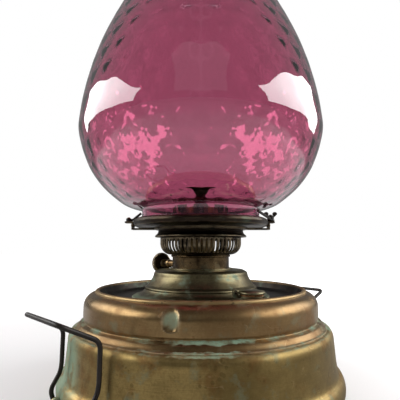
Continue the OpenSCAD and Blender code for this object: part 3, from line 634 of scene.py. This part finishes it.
def neck_brass(name):
    """Brown brass of the burner's neck, darker than the tank."""
    return aged_metal(name, linear(48, 35, 23), linear(32, 24, 18), linear(160, 134, 96),
                      linear(66, 46, 31), green=0.08, rough=0.32, clouds=0.8, stains=0.6)


def burner_bronze(name):
    """Dark bronze of the burner and the gallery, sooted and rubbed at its edges."""
    return aged_metal(name, colours().bronze, linear(28, 24, 22), linear(176, 158, 128),
                      linear(46, 34, 27), green=0.1, rough=0.34, clouds=0.8, stains=0.6,
                      wear=0.5)


def knob_bronze(name):
    """Brown bronze of the winder's knob, rubbed bright by fingers."""
    return aged_metal(name, linear(104, 88, 70), linear(44, 36, 30), linear(200, 184, 154),
                      linear(64, 48, 36), rough=0.34, clouds=0.7, stains=0.5, wear=0.7)


def bright_brass(name):
    """Warm brass of the small inner pieces."""
    return aged_metal(name, linear(134, 106, 66), linear(84, 64, 40), linear(206, 176, 126),
                      linear(92, 64, 40), rough=0.34, clouds=0.6, stains=0.4)


def tray_plate(name):
    """Dark worn plate of the tray, with the bright brass of its rolled rim."""
    return aged_metal(name, colours().tray, linear(40, 37, 35), linear(150, 136, 112),
                      linear(58, 46, 38), green=0.1, rough=0.42, clouds=0.7, stains=0.5,
                      wear=0.2, brass_beyond=wide("tray_top") - 3)


def black_wire(name):
    """Blackened wire, rubbed to brass at its edges."""
    return aged_metal(name, colours().wire, linear(15, 14, 13), linear(84, 70, 54),
                      linear(40, 29, 22), metal=0.4, rough=0.4, clouds=0.6, stains=0.5,
                      wear=0.2, lines=0.1)


def cork_sheet(name):
    """Cork: grains of uneven brown with dark pits between them."""
    made, tree, place, surface = blank_material(name)
    grains = add(tree, "ShaderNodeTexVoronoi", {"Vector": place, "Scale": 900.0})
    pits = use(tree, "specks", Vector=place, Scale=800.0, Size=0.3)
    colour = blend(tree, ramp(tree, grains.outputs[0], 0.1, 0.7), solid(colours().cork),
                   solid(linear(120, 82, 48)))
    colour = blend(tree, calc(tree, "MULTIPLY", pits, 0.8), colour, solid(linear(60, 38, 22)))
    bump = add(tree, "ShaderNodeBump", {"Strength": 0.6, "Distance": 0.2 * MM,
                                        "Height": grains.outputs[0]})
    shader = add(tree, "ShaderNodeBsdfPrincipled", {
        "Base Color": colour, "Roughness": 0.85, "Normal": bump.outputs[0]})
    tree.links.new(shader.outputs[0], surface)
    return made


def wick_cotton(name):
    """Woven cotton: fine strands, stained by oil, and charred along the top."""
    made, tree, place, surface = blank_material(name)
    z = add(tree, "ShaderNodeSeparateXYZ", {0: place}).outputs[2]
    rim = top("wick") * MM
    ragged = calc(tree, "MULTIPLY", noise(tree, place, 420.0, 4.0), 3 * MM)
    char = ramp(tree, calc(tree, "ADD", z, ragged), rim - 3 * MM, rim)
    strands = noise(tree, place, 1800.0, 3.0, 0.7)
    oil = use(tree, "tarnish", Vector=place, Scale=50.0, Low=0.35, High=0.7)
    colour = blend(tree, calc(tree, "MULTIPLY", oil, 0.5), solid(colours().cotton),
                   solid(linear(170, 138, 92)))
    colour = blend(tree, ramp(tree, strands, 0.4, 0.65, 0.0, 0.4), colour,
                   solid(linear(120, 98, 68)))
    colour = blend(tree, char, colour, solid(linear(26, 22, 20)))
    bump = add(tree, "ShaderNodeBump", {"Strength": 0.7, "Distance": 0.15 * MM,
                                        "Height": strands})
    shader = add(tree, "ShaderNodeBsdfPrincipled", {
        "Base Color": colour, "Roughness": 0.9, "Normal": bump.outputs[0]})
    tree.links.new(shader.outputs[0], surface)
    return made


def ruby_glass(name):
    """Ruby glass, a little deeper towards its foot and in faint streaks, with painted shade at its
    edges where the view grazes it; it lets light through.
    """
    made, tree, place, surface = blank_material(name)
    z = add(tree, "ShaderNodeSeparateXYZ", {0: place}).outputs[2]
    foot = ramp(tree, z, low("glass_globe") * MM + 0.01, low("glass_globe") * MM + 0.07)
    streak = use(tree, "tarnish", Vector=place, Scale=16.0, Low=0.3, High=0.75)
    tint = tuple(colours().glass)
    deep = tuple(0.9 * c for c in tint)
    colour = blend(tree, foot, solid(deep), solid(tint))
    colour = blend(tree, calc(tree, "MULTIPLY", streak, 0.3), colour, solid(deep))
    # Painted shade: the colour darkens to 0.3 of the tint where the view grazes the glass, standing in
    # for the dark Fresnel reflection and the longer path through the glass at its edges
    grazing = add(tree, "ShaderNodeLayerWeight", {"Blend": 0.4}).outputs["Facing"]
    colour = blend(tree, ramp(tree, grazing, 0.35, 1.0, 0.0, 0.75), colour,
                   solid(0.3 * c for c in tint))
    shader = add(tree, "ShaderNodeBsdfPrincipled", {
        "Base Color": colour, "Roughness": 0.015, "Metallic": 0.0, "IOR": 1.5,
        "Transmission Weight": 1.0, "Coat Weight": 1.0})
    clear = add(tree, "ShaderNodeBsdfTransparent", {"Color": (0.86, 0.6, 0.68, 1.0)})
    path = add(tree, "ShaderNodeLightPath")
    both = add(tree, "ShaderNodeMixShader", {0: path.outputs["Is Shadow Ray"],
                                             1: shader.outputs[0], 2: clear.outputs[0]})
    tree.links.new(both.outputs[0], surface)
    return made


MATERIAL_MAKERS = {"drum_brass": drum_brass, "bulge_brass": bulge_brass, "dome_brass": dome_brass,
                   "neck_brass": neck_brass, "burner_bronze": burner_bronze,
                   "knob_bronze": knob_bronze, "bright_brass": bright_brass,
                   "tray_plate": tray_plate,
                   "black_wire": black_wire, "cork_sheet": cork_sheet,
                   "wick_cotton": wick_cotton, "ruby_glass": ruby_glass}


class OILLAMP_OT_tank(bpy.types.Operator):
    """Make the foot and lower drum, and the upper drum with its bands, bulge and dent"""

    bl_idname = "oil_lamp.tank"
    bl_label = "Tank"

    def execute(self, context):
        s = context.scene.lamp_sizes
        sheet = s.sheet / MM
        drum_r = s.drum_radius / MM
        bulge_r = s.bulge_radius / MM
        foot_r = wide("lower_drum")
        seam_r = wide("upper_drum")
        z_seam = top("lower_drum")
        z_flange = top("upper_drum")
        foot_h = 21
        shoulder_h = 7.4
        foot_bulge = 7
        wall_foot_r = drum_r + 1.4
        drum = joined(
            [foot_r - 10.5, 0],
            arc(foot_r - foot_bulge, foot_h * 0.46, foot_bulge, foot_h * 0.46, -90, 62, 26),
            [[wall_foot_r + 0.6, foot_h * 0.95], [wall_foot_r, foot_h * 1.06]],
            arc(seam_r + 0.4, z_seam - shoulder_h, drum_r - seam_r - 0.4, shoulder_h, 0, 84, 16),
            [seam_r - 6, z_seam])
        drum = divided(drum, 2.0)
        around = 360
        turn = np.arange(around) * 2 * np.pi / around
        uneven = -0.07 * (2 + np.sin(3 * turn + drum[:, 1:] / 11)
                          + np.sin(7 * turn - drum[:, 1:] / 6 + 1))
        on_wall = np.clip((drum[:, 1:] - foot_h * 1.06) / 6, 0, 1) * np.clip(
            (z_seam - 3 - drum[:, 1:]) / 4, 0, 1)
        grid_piece("lower_drum", sheet_piece(drum, sheet, around, uneven * on_wall))

        groove = low("upper_drum") + 5.2
        rim_r = wide("tray_top") - 1.8
        round_h = (z_flange - groove) * 0.45
        bulge = joined(
            [[seam_r, z_seam], [seam_r, z_seam + 0.6]],
            spline([[seam_r - 0.5, z_seam + 0.9], [seam_r - 1.7, z_seam + 1.7],
                    [bulge_r + 2.2, groove - 1.1], [bulge_r + 0.4, groove - 0.2],
                    [bulge_r - 0.9, groove + 0.5], [bulge_r - 0.8, groove + 1.6],
                    [bulge_r - 0.2, groove + 3.4], [bulge_r, groove + 6.5]], 6),
            arc(rim_r + 0.8, z_flange - round_h, bulge_r - rim_r - 0.8, round_h, 2, 80, 22),
            [[rim_r + 2.2, z_flange], [rim_r - 0.2, z_flange]])
        bulge = divided(bulge, 1.2)
        around = 480
        turn = np.arange(around) * 2 * np.pi / around
        half_width = s.dent_width / MM / 2
        straight = (s.dent_height - s.dent_width) / MM / 2
        dent_z = z_flange - 8.3
        aside = bulge_r * ((turn - s.dent_turn + np.pi) % (2 * np.pi) - np.pi)
        beyond = np.maximum(np.abs(bulge[:, 1:] - dent_z) - straight, 0)
        reach = np.sqrt(aside ** 2 + beyond ** 2) / half_width
        dent = -s.dent_depth / MM * np.clip(1 - reach ** 4, 0, 1)
        wave = -0.05 * (2 + np.sin(4 * turn + 1) + np.sin(9 * turn + bulge[:, 1:] / 5))
        on_side = np.clip((bulge[:, 1:] - groove - 1) / 4, 0, 1) * np.clip(
            (z_flange - 2 - bulge[:, 1:]) / 4, 0, 1)
        grid_piece("upper_drum", sheet_piece(bulge, sheet, around, dent + wave * on_side))
        return {"FINISHED"}


class OILLAMP_OT_tray(bpy.types.Operator):
    """Make the dished tray with its rolled rim, and the dome with its bead and concave skirt"""

    bl_idname = "oil_lamp.tray"
    bl_label = "Tray and dome"

    def execute(self, context):
        s = context.scene.lamp_sizes
        sheet = s.sheet / MM
        dome_r = s.dome_radius / MM
        z_flange = top("upper_drum")
        z_tray = low("dome")
        z_dome = top("dome")
        roll_r = 1.8
        rim_r = wide("tray_top") - roll_r
        tray = joined(
            [rim_r + roll_r, z_flange],
            arc(rim_r, z_flange + 0.5, roll_r, roll_r, 0, 180, 20),
            arc(rim_r - roll_r - 4.6, z_tray + 3.6, 3.2, 3.6, -20, -90, 12),
            [27.3, z_tray])
        grid_piece("tray_top", sheet_piece(divided(tray, 2.5), sheet, 300))
        bead = z_tray + 7.6
        dome_h = z_dome - bead
        dome = joined(
            [[dome_r + 10.4, z_tray], [dome_r + 10.4, z_tray + 0.5]],
            spline([[dome_r + 9.8, z_tray + 1.2], [dome_r + 5.4, z_tray + 2.6],
                    [dome_r + 2, z_tray + 4.4], [dome_r + 0.2, bead - 1.5]], 8),
            arc(dome_r - 1.5, bead, 1.5, 1.5, -30, 60, 12),
            spline([[dome_r - 2.6, bead + 2.6], [dome_r - 5.1, bead + dome_h * 0.4],
                    [dome_r - 6.8, bead + dome_h * 0.63], [dome_r - 7.8, bead + dome_h * 0.85],
                    [dome_r - 9.7, z_dome - 0.9]], 8),
            [[dome_r - 11.3, z_dome - 0.2], [dome_r - 13.1, z_dome], [25.2, z_dome]])
        grid_piece("dome", sheet_piece(dome, sheet, 300))
        return {"FINISHED"}


class OILLAMP_OT_burner(bpy.types.Operator):
    """Make the neck's bead, the ribbed and slotted air basket, and the flared skirt over it"""

    bl_idname = "oil_lamp.burner"
    bl_label = "Burner"

    def execute(self, context):
        s = context.scene.lamp_sizes
        sheet = s.burner_sheet / MM
        neck_r = wide("burner_neck")
        z_bead = low("neck_bead")
        z_basket = top("neck_bead")
        bead_half = (z_basket - z_bead) / 2
        bead = joined([[neck_r - 2.5, z_bead]],
                      arc(neck_r, z_bead + bead_half, 1.3, bead_half, -90, 90, 16),
                      [[neck_r - 2.5, z_basket]])
        grid_piece("neck_bead", turned(bead, 200))

        basket_r = wide("air_basket")
        z_lip = low("burner_skirt")
        height = z_lip - z_basket
        bowl = joined(
            np.stack([np.linspace(12.0, neck_r - 1, 5), np.full(5, z_basket)], axis=1),
            arc(neck_r + 1, z_basket + height * 0.66, basket_r - neck_r - 1, height * 0.66,
                -84, 0, 22),
            [[basket_r, z_lip - 2.6], [basket_r, z_lip - 1.2], [basket_r, z_lip]])
        per_slot = 8
        open_faces = 3
        phase = np.arange(s.slots * per_slot) % per_slot
        rib = 0.6 * np.sin(np.pi * np.clip((phase - open_faces) / (per_slot - open_faces), 0, 1))
        side = np.clip((bowl[:, 1:] - z_basket - 1) / 1.6, 0, 1) * np.clip(
            (z_lip - 1 - bowl[:, 1:]) / 1.8, 0, 1)
        middle = (bowl[1:, 1:] + bowl[:-1, 1:]) / 2
        slot_rows = (middle > z_basket + 2.4) & (middle < z_lip - 2.6)
        kept = ~(slot_rows & (phase < open_faces)[None, :])
        points = turned(bowl, s.slots * per_slot)
        out = points[..., :2] / np.maximum(np.linalg.norm(points[..., :2], axis=2), 1e-9)[..., None]
        points[..., :2] -= out * (0.6 - rib[None, :] * 1.0)[..., None] * side[..., None]
        basket = grid_piece("air_basket", points, closed_rows=False, kept=kept)
        wall = basket.modifiers.new("Wall", "SOLIDIFY")
        wall.thickness = sheet * MM
        wall.offset = -1

        lip_r = wide("burner_skirt")
        z_strap = top("burner_skirt")
        skirt_h = z_strap - z_lip
        skirt = joined(
            [[basket_r - 1.6, z_lip], [lip_r - 0.5, z_lip]],
            arc(lip_r - 0.7, z_lip + 0.7, 0.7, 0.7, -80, 60, 10),
            spline([[lip_r - 0.6, z_lip + 1.8], [lip_r - 1.8, z_lip + skirt_h * 0.42],
                    [lip_r - 2.6, z_lip + skirt_h * 0.66], [lip_r - 2.8, z_strap]], 6))
        grid_piece("burner_skirt", sheet_piece(skirt, sheet, 240))
        return {"FINISHED"}


class OILLAMP_OT_wick(bpy.types.Operator):
    """Make the round wick with its slit and weave, and the flame spreader above it"""

    bl_idname = "oil_lamp.wick"
    bl_label = "Wick and spreader"

    def execute(self, context):
        z_low = low("wick")
        z_top = top("wick")
        inner_r, outer_r = 8.6, 10.8
        slit = radians(12)
        winder = radians(126.3 - 90)
        z = np.concatenate([np.linspace(z_low, z_top - 12, 40), np.linspace(z_top - 11.6, z_top, 30)])
        outline = joined(np.stack([np.full(len(z), outer_r), z], axis=1),
                         np.stack([np.full(len(z), inner_r), z[::-1]], axis=1))
        turn = winder + slit / 2 + np.linspace(0, 2 * np.pi - slit, 150)
        weave = -0.08 * (1 + np.sin(60 * turn) * np.sin(outline[:, 1:] * 2.6))
        sign = np.where(np.arange(len(outline)) < len(z), 1, -1)[:, None]
        r = outline[:, :1] + weave * sign
        points = np.stack([r * np.cos(turn), r * np.sin(turn), outline[:, 1:] + 0 * turn], axis=-1)
        middle_r = (inner_r + outer_r) / 2
        middle_z = (z_low + z_top) / 2
        ends = [np.array([middle_r * np.cos(a), middle_r * np.sin(a), middle_z]) for a in
                (turn[0], turn[-1])]
        first, last = (np.broadcast_to(end, (len(outline), 1, 3)) for end in ends)
        grid_piece("wick", np.concatenate([first, points, last], axis=1), closed_columns=False)

        foot_z = low("flame_spreader")
        disc_r = wide("flame_spreader")
        tall = top("flame_spreader") - foot_z - 0.4
        spreader = joined(
            [[0, foot_z], [7.6, foot_z], [7.6, foot_z + 1]],
            spline([[6.2, foot_z + 1.6], [disc_r * 0.3, foot_z + tall * 0.35],
                    [disc_r * 0.42, foot_z + tall * 0.62], [disc_r, foot_z + tall - 1.8]], 8),
            [[disc_r, foot_z + tall - 0.8]],
            spline([[disc_r - 1.6, foot_z + tall - 0.2], [disc_r * 0.4, foot_z + tall + 0.4],
                    [0, foot_z + tall + 0.4]], 4))
        grid_piece("flame_spreader", turned(spreader, 200), closed_rows=False)
        return {"FINISHED"}


class OILLAMP_OT_knob(bpy.types.Operator):
    """Make the winder's knob: milled round its edge, with rings and petals pressed in its face"""

    bl_idname = "oil_lamp.knob"
    bl_label = "Winder knob"

    def execute(self, context):
        knob_r, half = 9.4, 2.2
        boss_r, boss_l = 3.6, 3.2
        shaft_r = 1.5
        teeth = 40
        outline = joined(
            [[shaft_r, -half - boss_l], [boss_r - 0.4, -half - boss_l],
             [boss_r, -half - boss_l + 0.4], [boss_r, -half - 0.3]],
            [[knob_r - 1.2, -half], [knob_r - 0.3, -half + 0.5], [knob_r, -half + 1],
             [knob_r, 0], [knob_r, half - 1], [knob_r - 0.3, half - 0.4]],
            spline([[knob_r - 1, half], [knob_r - 1.8, half - 0.5], [knob_r - 2.6, half - 0.5],
                    [knob_r - 3.3, half - 0.1], [4.4, half - 0.2], [3.0, half], [shaft_r, half]],
                   4))
        outline = divided(outline, 1.0)
        around = teeth * 8
        turn = np.arange(around) * 2 * np.pi / around
        at_edge = (outline[:, :1] > knob_r - 0.5)
        milling = -0.35 * (0.5 - 0.5 * np.cos(teeth * turn)) * at_edge
        on_face = (outline[:, 1:] > half - 0.7) & (outline[:, :1] > 2.4) & (outline[:, :1] < 6.2)
        petals = -0.3 * np.abs(np.sin(5 * turn)) * on_face
        local = turned(outline, around, milling + petals)
        winder = radians(126.3)
        out = np.array([np.cos(winder), np.sin(winder), 0])
        across = np.array([-np.sin(winder), np.cos(winder), 0])
        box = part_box("winder_knob")
        z_shaft = (box[0][2] + box[1][2]) / 2 / MM
        knob_at = 41.4
        shaft_off = 14.8
        points = (out * (knob_at + local[..., 2:]) + across * (shaft_off + local[..., :1])
                  + np.array([0, 0, 1]) * (z_shaft + local[..., 1:2]))
        grid_piece("winder_knob", points)
        return {"FINISHED"}


class OILLAMP_OT_handles(bpy.types.Operator):
    """Make both wire handles: legs up from their pivots, then a bend out to the grip"""

    bl_idname = "oil_lamp.handles"
    bl_label = "Handles"

    def execute(self, context):
        wire_r = context.scene.lamp_sizes.wire_radius / MM
        drum_r = context.scene.lamp_sizes.drum_radius / MM
        leg_half, pin_in, pivot_h, bow = 25.8, 19.7, 9.6, 2.2
        pivot_c = np.sqrt((wide("lower_drum") + 0.3) ** 2 - pin_in ** 2) + wire_r
        leg_c = np.sqrt((drum_r + 3.4 + wire_r + 0.2) ** 2 - leg_half ** 2)
        z_bend, grip_out, grip_up = 55.4, 25.9, 12.6
        half = np.array([
            [pivot_c, pin_in, pivot_h], [pivot_c, leg_half, pivot_h],
            [pivot_c + bow, leg_half, pivot_h + 7], [leg_c + 0.8, leg_half, pivot_h + 17],
            [leg_c, leg_half, pivot_h + 22], [leg_c, leg_half, z_bend],
            [leg_c + grip_out, leg_half, z_bend + grip_up]])
        path = rounded(np.vstack([half, half[::-1] * [1, -1, 1]]), 5, 8)
        for node, direction in (("handle_left", 224), ("handle_right", 36)):
            a = radians(direction)
            turn = np.array([[np.cos(a), -np.sin(a), 0], [np.sin(a), np.cos(a), 0], [0, 0, 1]])
            grid_piece(node, swept(path @ turn.T, wire_r, 20), closed_rows=False)
        return {"FINISHED"}


class OILLAMP_OT_gallery(bpy.types.Operator):
    """Make the gallery pan: flat under, round at the side, with the ledge that carries the globe"""

    bl_idname = "oil_lamp.gallery"
    bl_label = "Gallery pan"

    def execute(self, context):
        pan_r = wide("gallery_pan")
        z_pan = low("gallery_pan")
        z_seat = top("gallery_pan")
        pan_h = z_seat - z_pan
        prong_r = 23
        pan = joined(
            [[prong_r - 1, z_pan], [pan_r - 6, z_pan]],
            spline([[pan_r - 4, z_pan + 0.3], [pan_r - 1.2, z_pan + 1.6],
                    [pan_r - 0.3, z_pan + pan_h * 0.42], [pan_r, z_pan + pan_h * 0.6],
                    [pan_r - 0.9, z_pan + pan_h * 0.84], [pan_r - 3.4, z_pan + pan_h * 0.98]], 6),
            [[pan_r - 4.4, z_seat], [46.4, z_seat]])
        grid_piece("gallery_pan", sheet_piece(divided(pan, 3), 1.0, 300))
        return {"FINISHED"}


class OILLAMP_OT_globe(bpy.types.Operator):
    """Make the glass globe, with rings of pressed dimples that shift by half from ring to ring"""

    bl_idname = "oil_lamp.globe"
    bl_label = "Glass globe"

    def execute(self, context):
        s = context.scene.lamp_sizes
        wide_r = wide("glass_globe")
        z_foot = low("glass_globe")
        foot_r, foot_h = 50.8, 7.4
        low_h, high_h, mouth_h = 69, 168, 19
        neck_r, mouth_r = 41, 46
        b = z_foot + foot_h + low_h
        z_mouth = b + high_h + mouth_h
        outer = joined(
            [[foot_r, z_foot], [foot_r, z_foot + foot_h - 1]],
            spline([[foot_r + 0.7, z_foot + foot_h],
                    [wide_r * 0.58, b - low_h * 0.97], [wide_r * 0.67, b - low_h * 0.9],
                    [wide_r * 0.81, b - low_h * 0.715], [wide_r * 0.912, b - low_h * 0.494],
                    [wide_r * 0.979, b - low_h * 0.222], [wide_r, b],
                    [wide_r * 0.96, b + high_h * 0.18], [wide_r * 0.882, b + high_h * 0.367],
                    [wide_r * 0.76, b + high_h * 0.56], [wide_r * 0.623, b + high_h * 0.727],
                    [neck_r + 4.5, b + high_h * 0.91], [neck_r, b + high_h],
                    [mouth_r - 2.2, z_mouth - mouth_h * 0.35], [mouth_r, z_mouth]], 10))
        outer = evenly(outer, 156)
        around = 9 * s.dimples
        turn = np.arange(around) * 2 * np.pi / around
        step = np.linalg.norm(np.diff(outer, axis=0), axis=1)
        middle_r = (outer[1:, 0] + outer[:-1, 0]) / 2
        row_pitch = 0.86
        rings = np.concatenate([[0], np.cumsum(step * s.dimples / (2 * np.pi * middle_r) / row_pitch)])
        rings = rings[:, None]
        place = turn * s.dimples / (2 * np.pi)
        nearest = np.full((len(outer), around), 9.0)
        for ring in (np.floor(rings), np.floor(rings) + 1):
            aside = (place - 0.5 * (ring % 2) + 0.5) % 1 - 0.5
            away = np.sqrt(aside ** 2 + ((rings - ring) * row_pitch) ** 2)
            nearest = np.minimum(nearest, away)
        cup = np.clip(1 - (nearest / 0.46) ** 2, 0, 1) ** 1.5
        fade = np.clip((outer[:, 1:] - z_foot - 9) / 6, 0, 1) * np.clip(
            (z_mouth - 8 - outer[:, 1:]) / 10, 0, 1)
        depth = s.dimple_depth / MM * outer[:, :1] / wide_r
        relief = -depth * cup * fade
        wall = s.glass_wall / MM
        grid_piece("glass_globe", sheet_piece(outer, wall, around, 0.3 * relief, relief))
        return {"FINISHED"}


class OILLAMP_OT_fittings(bpy.types.Operator):
    """Finish the small fittings: copies of the frame's nodes with rounded edges"""

    bl_idname = "oil_lamp.fittings"
    bl_label = "Fittings"

    def execute(self, context):
        rounded_edges = {
            "base_plate": 0, "burner_collar": 0.2, "filler_neck": 0.15, "filler_pin": 0.1,
            "filler_washer": 0.2, "filler_lid": 0.2, "handle_eyes": 0.3, "burner_neck": 0.15,
            "burner_deck": 0, "wick_tube": 0.1, "draught_tube": 0, "winder_gland": 0.15,
            "winder_bracket": 0, "winder_shaft": 0.15, "spur_wheels": 0, "spreader_stem": 0,
            "gallery_strap": 0.2, "strap_rivets": 0.15, "prong_ring": 0.1, "clip_pin": 0.15,
            "clip_left": 0.1, "clip_right": 0, "wing_stud": 0.2, "wing_nut": 0.25}
        for node, bevel in rounded_edges.items():
            refined_piece(node, bevel)
        return {"FINISHED"}


class OILLAMP_OT_stage(bpy.types.Operator):
    """Make the white floor, the light surroundings, the soft boxes and the camera"""

    bl_idname = "oil_lamp.stage"
    bl_label = "Stage"

    def execute(self, context):
        scene = context.scene
        scene.view_settings.view_transform = "Standard"
        self.floor(scene)
        self.surroundings(scene)
        self.lamp(scene, "left_soft_box", (-1.0, -0.05, 0.56), (1.3, 0.5), 9.5)
        self.lamp(scene, "right_soft_box", (1.0, -0.05, 0.57), (1.3, 0.58), 12.5)
        self.lamp(scene, "front_soft_box", (0.0, -1.3, 1.0), (1.1, 1.0), 0.7)
        self.lamp(scene, "top_soft_box", (0.0, 0.5, 1.6), (1.2, 0.8), 4.0)
        camera = bpy.data.objects.new("camera", bpy.data.cameras.new("camera"))
        camera.data.lens = 32.4
        camera.data.sensor_width = 36
        camera.data.clip_start = 0.01
        camera.location = (-0.0006, -0.315, 0.110)
        camera.rotation_euler = (radians(90 + 7.64), 0, 0)
        scene.collection.objects.link(camera)
        scene.camera = camera
        return {"FINISHED"}

    def floor(self, scene):
        """White sheet under the lamp, which keeps the shadow; a painted glow for the camera, faint
        left of the lamp and full further out, makes it show as white.
        """
        reach = 6.0
        z = -0.2 * MM
        mesh = bpy.data.meshes.new("floor_sheet")
        mesh.from_pydata([(-reach, -reach, z), (reach, -reach, z), (reach, reach, z),
                          (-reach, reach, z)], [], [(0, 1, 2, 3)])
        floor = bpy.data.objects.new("floor_sheet", mesh)
        scene.collection.objects.link(floor)
        made, tree, place, surface = blank_material("floor_white")
        seen = add(tree, "ShaderNodeLightPath").outputs["Is Camera Ray"]
        colour = blend(tree, seen, (0.5, 0.5, 0.5, 1), (0.86, 0.86, 0.86, 1))
        white = add(tree, "ShaderNodeBsdfDiffuse", {"Color": colour})
        # Painted light: the sheet glows for the camera, faint within 0.15 m of a point left of the
        # lamp and full beyond 0.9 m, so it is greyer to the lamp's left and white elsewhere
        away = add(tree, "ShaderNodeVectorMath", {0: place, 1: (-0.2, 0.05, 0)},
                   operation="DISTANCE").outputs["Value"]
        painted_glow = calc(tree, "MULTIPLY", seen, ramp(tree, away, 0.15, 0.9, 0.04, 1.0))
        glow = add(tree, "ShaderNodeEmission", {"Strength": painted_glow})
        both = add(tree, "ShaderNodeAddShader", {0: white.outputs[0], 1: glow.outputs[0]})
        tree.links.new(both.outputs[0], surface)
        mesh.materials.append(made)

    def surroundings(self, scene):
        """White behind the lamp; a dim room for metal; two pale windows seen through the glass."""
        world = bpy.data.worlds.new("studio")
        world.use_nodes = True
        tree = world.node_tree
        tree.nodes.clear()
        way = add(tree, "ShaderNodeTexCoord").outputs["Generated"]
        x, y, z = add(tree, "ShaderNodeSeparateXYZ", {0: way}).outputs
        path = add(tree, "ShaderNodeLightPath").outputs
        mirrored = ramp(tree, y, -0.6, 0.5, 0.06, 0.2)
        behind = calc(tree, "MAXIMUM", y, 0.05)
        aside = calc(tree, "ABSOLUTE", calc(tree, "DIVIDE", x, behind))
        rise = calc(tree, "DIVIDE", z, behind)
        across = ramp(tree, calc(tree, "ABSOLUTE", calc(tree, "SUBTRACT", aside, 0.19)),
                      0.08, 0.045)
        up = ramp(tree, calc(tree, "ABSOLUTE", calc(tree, "SUBTRACT", rise, 0.28)), 0.09, 0.05)
        window = calc(tree, "MULTIPLY", across, up)
        room = calc(tree, "MULTIPLY", ramp(tree, aside, 0.1, 0.35, 0.48, 0.66),
                    ramp(tree, aside, 0.45, 1.1, 1.0, 0.3))
        room = calc(tree, "MULTIPLY", room, ramp(tree, rise, 0.12, 0.4, 1.4, 1.0))
        through = calc(tree, "ADD", room, calc(tree, "MULTIPLY", window, 1.0))
        strength = 0.34
        for kind, value in (("Is Glossy Ray", mirrored), ("Is Transmission Ray", through),
                            ("Is Camera Ray", 1.0)):
            strength = add(tree, "ShaderNodeMix", {0: path[kind], 2: strength, 3: value},
                           data_type="FLOAT").outputs[0]
        light = add(tree, "ShaderNodeBackground", {"Color": (1, 1, 1, 1), "Strength": strength})
        end = add(tree, "ShaderNodeOutputWorld")
        tree.links.new(light.outputs[0], end.inputs["Surface"])
        scene.world = world

    def lamp(self, scene, name, place, size, power):
        """Soft box that faces the lamp's middle."""
        light = bpy.data.lights.new(name, "AREA")
        light.shape = "RECTANGLE"
        light.size, light.size_y = size
        light.energy = power
        holder = bpy.data.objects.new(name, light)
        holder.location = place
        aim = Vector((0, 0, 0.15)) - Vector(place)
        holder.rotation_euler = aim.to_track_quat("-Z", "Y").to_euler()
        holder.visible_camera = False
        holder.visible_transmission = False
        scene.collection.objects.link(holder)


class OILLAMP_PT_pieces(bpy.types.Panel):
    """Buttons that make each piece, and the sizes and colours they take"""

    bl_idname = "OILLAMP_PT_pieces"
    bl_label = "Oil heater lamp"
    bl_space_type = "VIEW_3D"
    bl_region_type = "UI"
    bl_category = "Lamp"

    def draw(self, context):
        for maker in PIECE_MAKERS:
            self.layout.operator(maker.bl_idname)
        for settings in (context.scene.lamp_sizes, context.scene.lamp_colours):
            box = self.layout.box()
            for name in settings.__annotations__:
                box.prop(settings, name)


PIECE_MAKERS = (OILLAMP_OT_tank, OILLAMP_OT_tray, OILLAMP_OT_burner, OILLAMP_OT_wick,
                OILLAMP_OT_knob, OILLAMP_OT_handles, OILLAMP_OT_gallery, OILLAMP_OT_globe,
                OILLAMP_OT_fittings, OILLAMP_OT_stage)
CLASSES = (LampSizes, LampColours) + PIECE_MAKERS + (OILLAMP_PT_pieces,)


def register():
    for each in CLASSES:
        bpy.utils.register_class(each)
    bpy.types.Scene.lamp_sizes = PointerProperty(type=LampSizes)
    bpy.types.Scene.lamp_colours = PointerProperty(type=LampColours)


def unregister():
    del bpy.types.Scene.lamp_colours
    del bpy.types.Scene.lamp_sizes
    for each in reversed(CLASSES):
        bpy.utils.unregister_class(each)


def main():
    """Make every piece in order."""
    register()
    bpy.ops.oil_lamp.tank()
    bpy.ops.oil_lamp.tray()
    bpy.ops.oil_lamp.burner()
    bpy.ops.oil_lamp.wick()
    bpy.ops.oil_lamp.knob()
    bpy.ops.oil_lamp.handles()
    bpy.ops.oil_lamp.gallery()
    bpy.ops.oil_lamp.globe()
    bpy.ops.oil_lamp.fittings()
    bpy.ops.oil_lamp.stage()


if __name__ == "__main__":
    main()
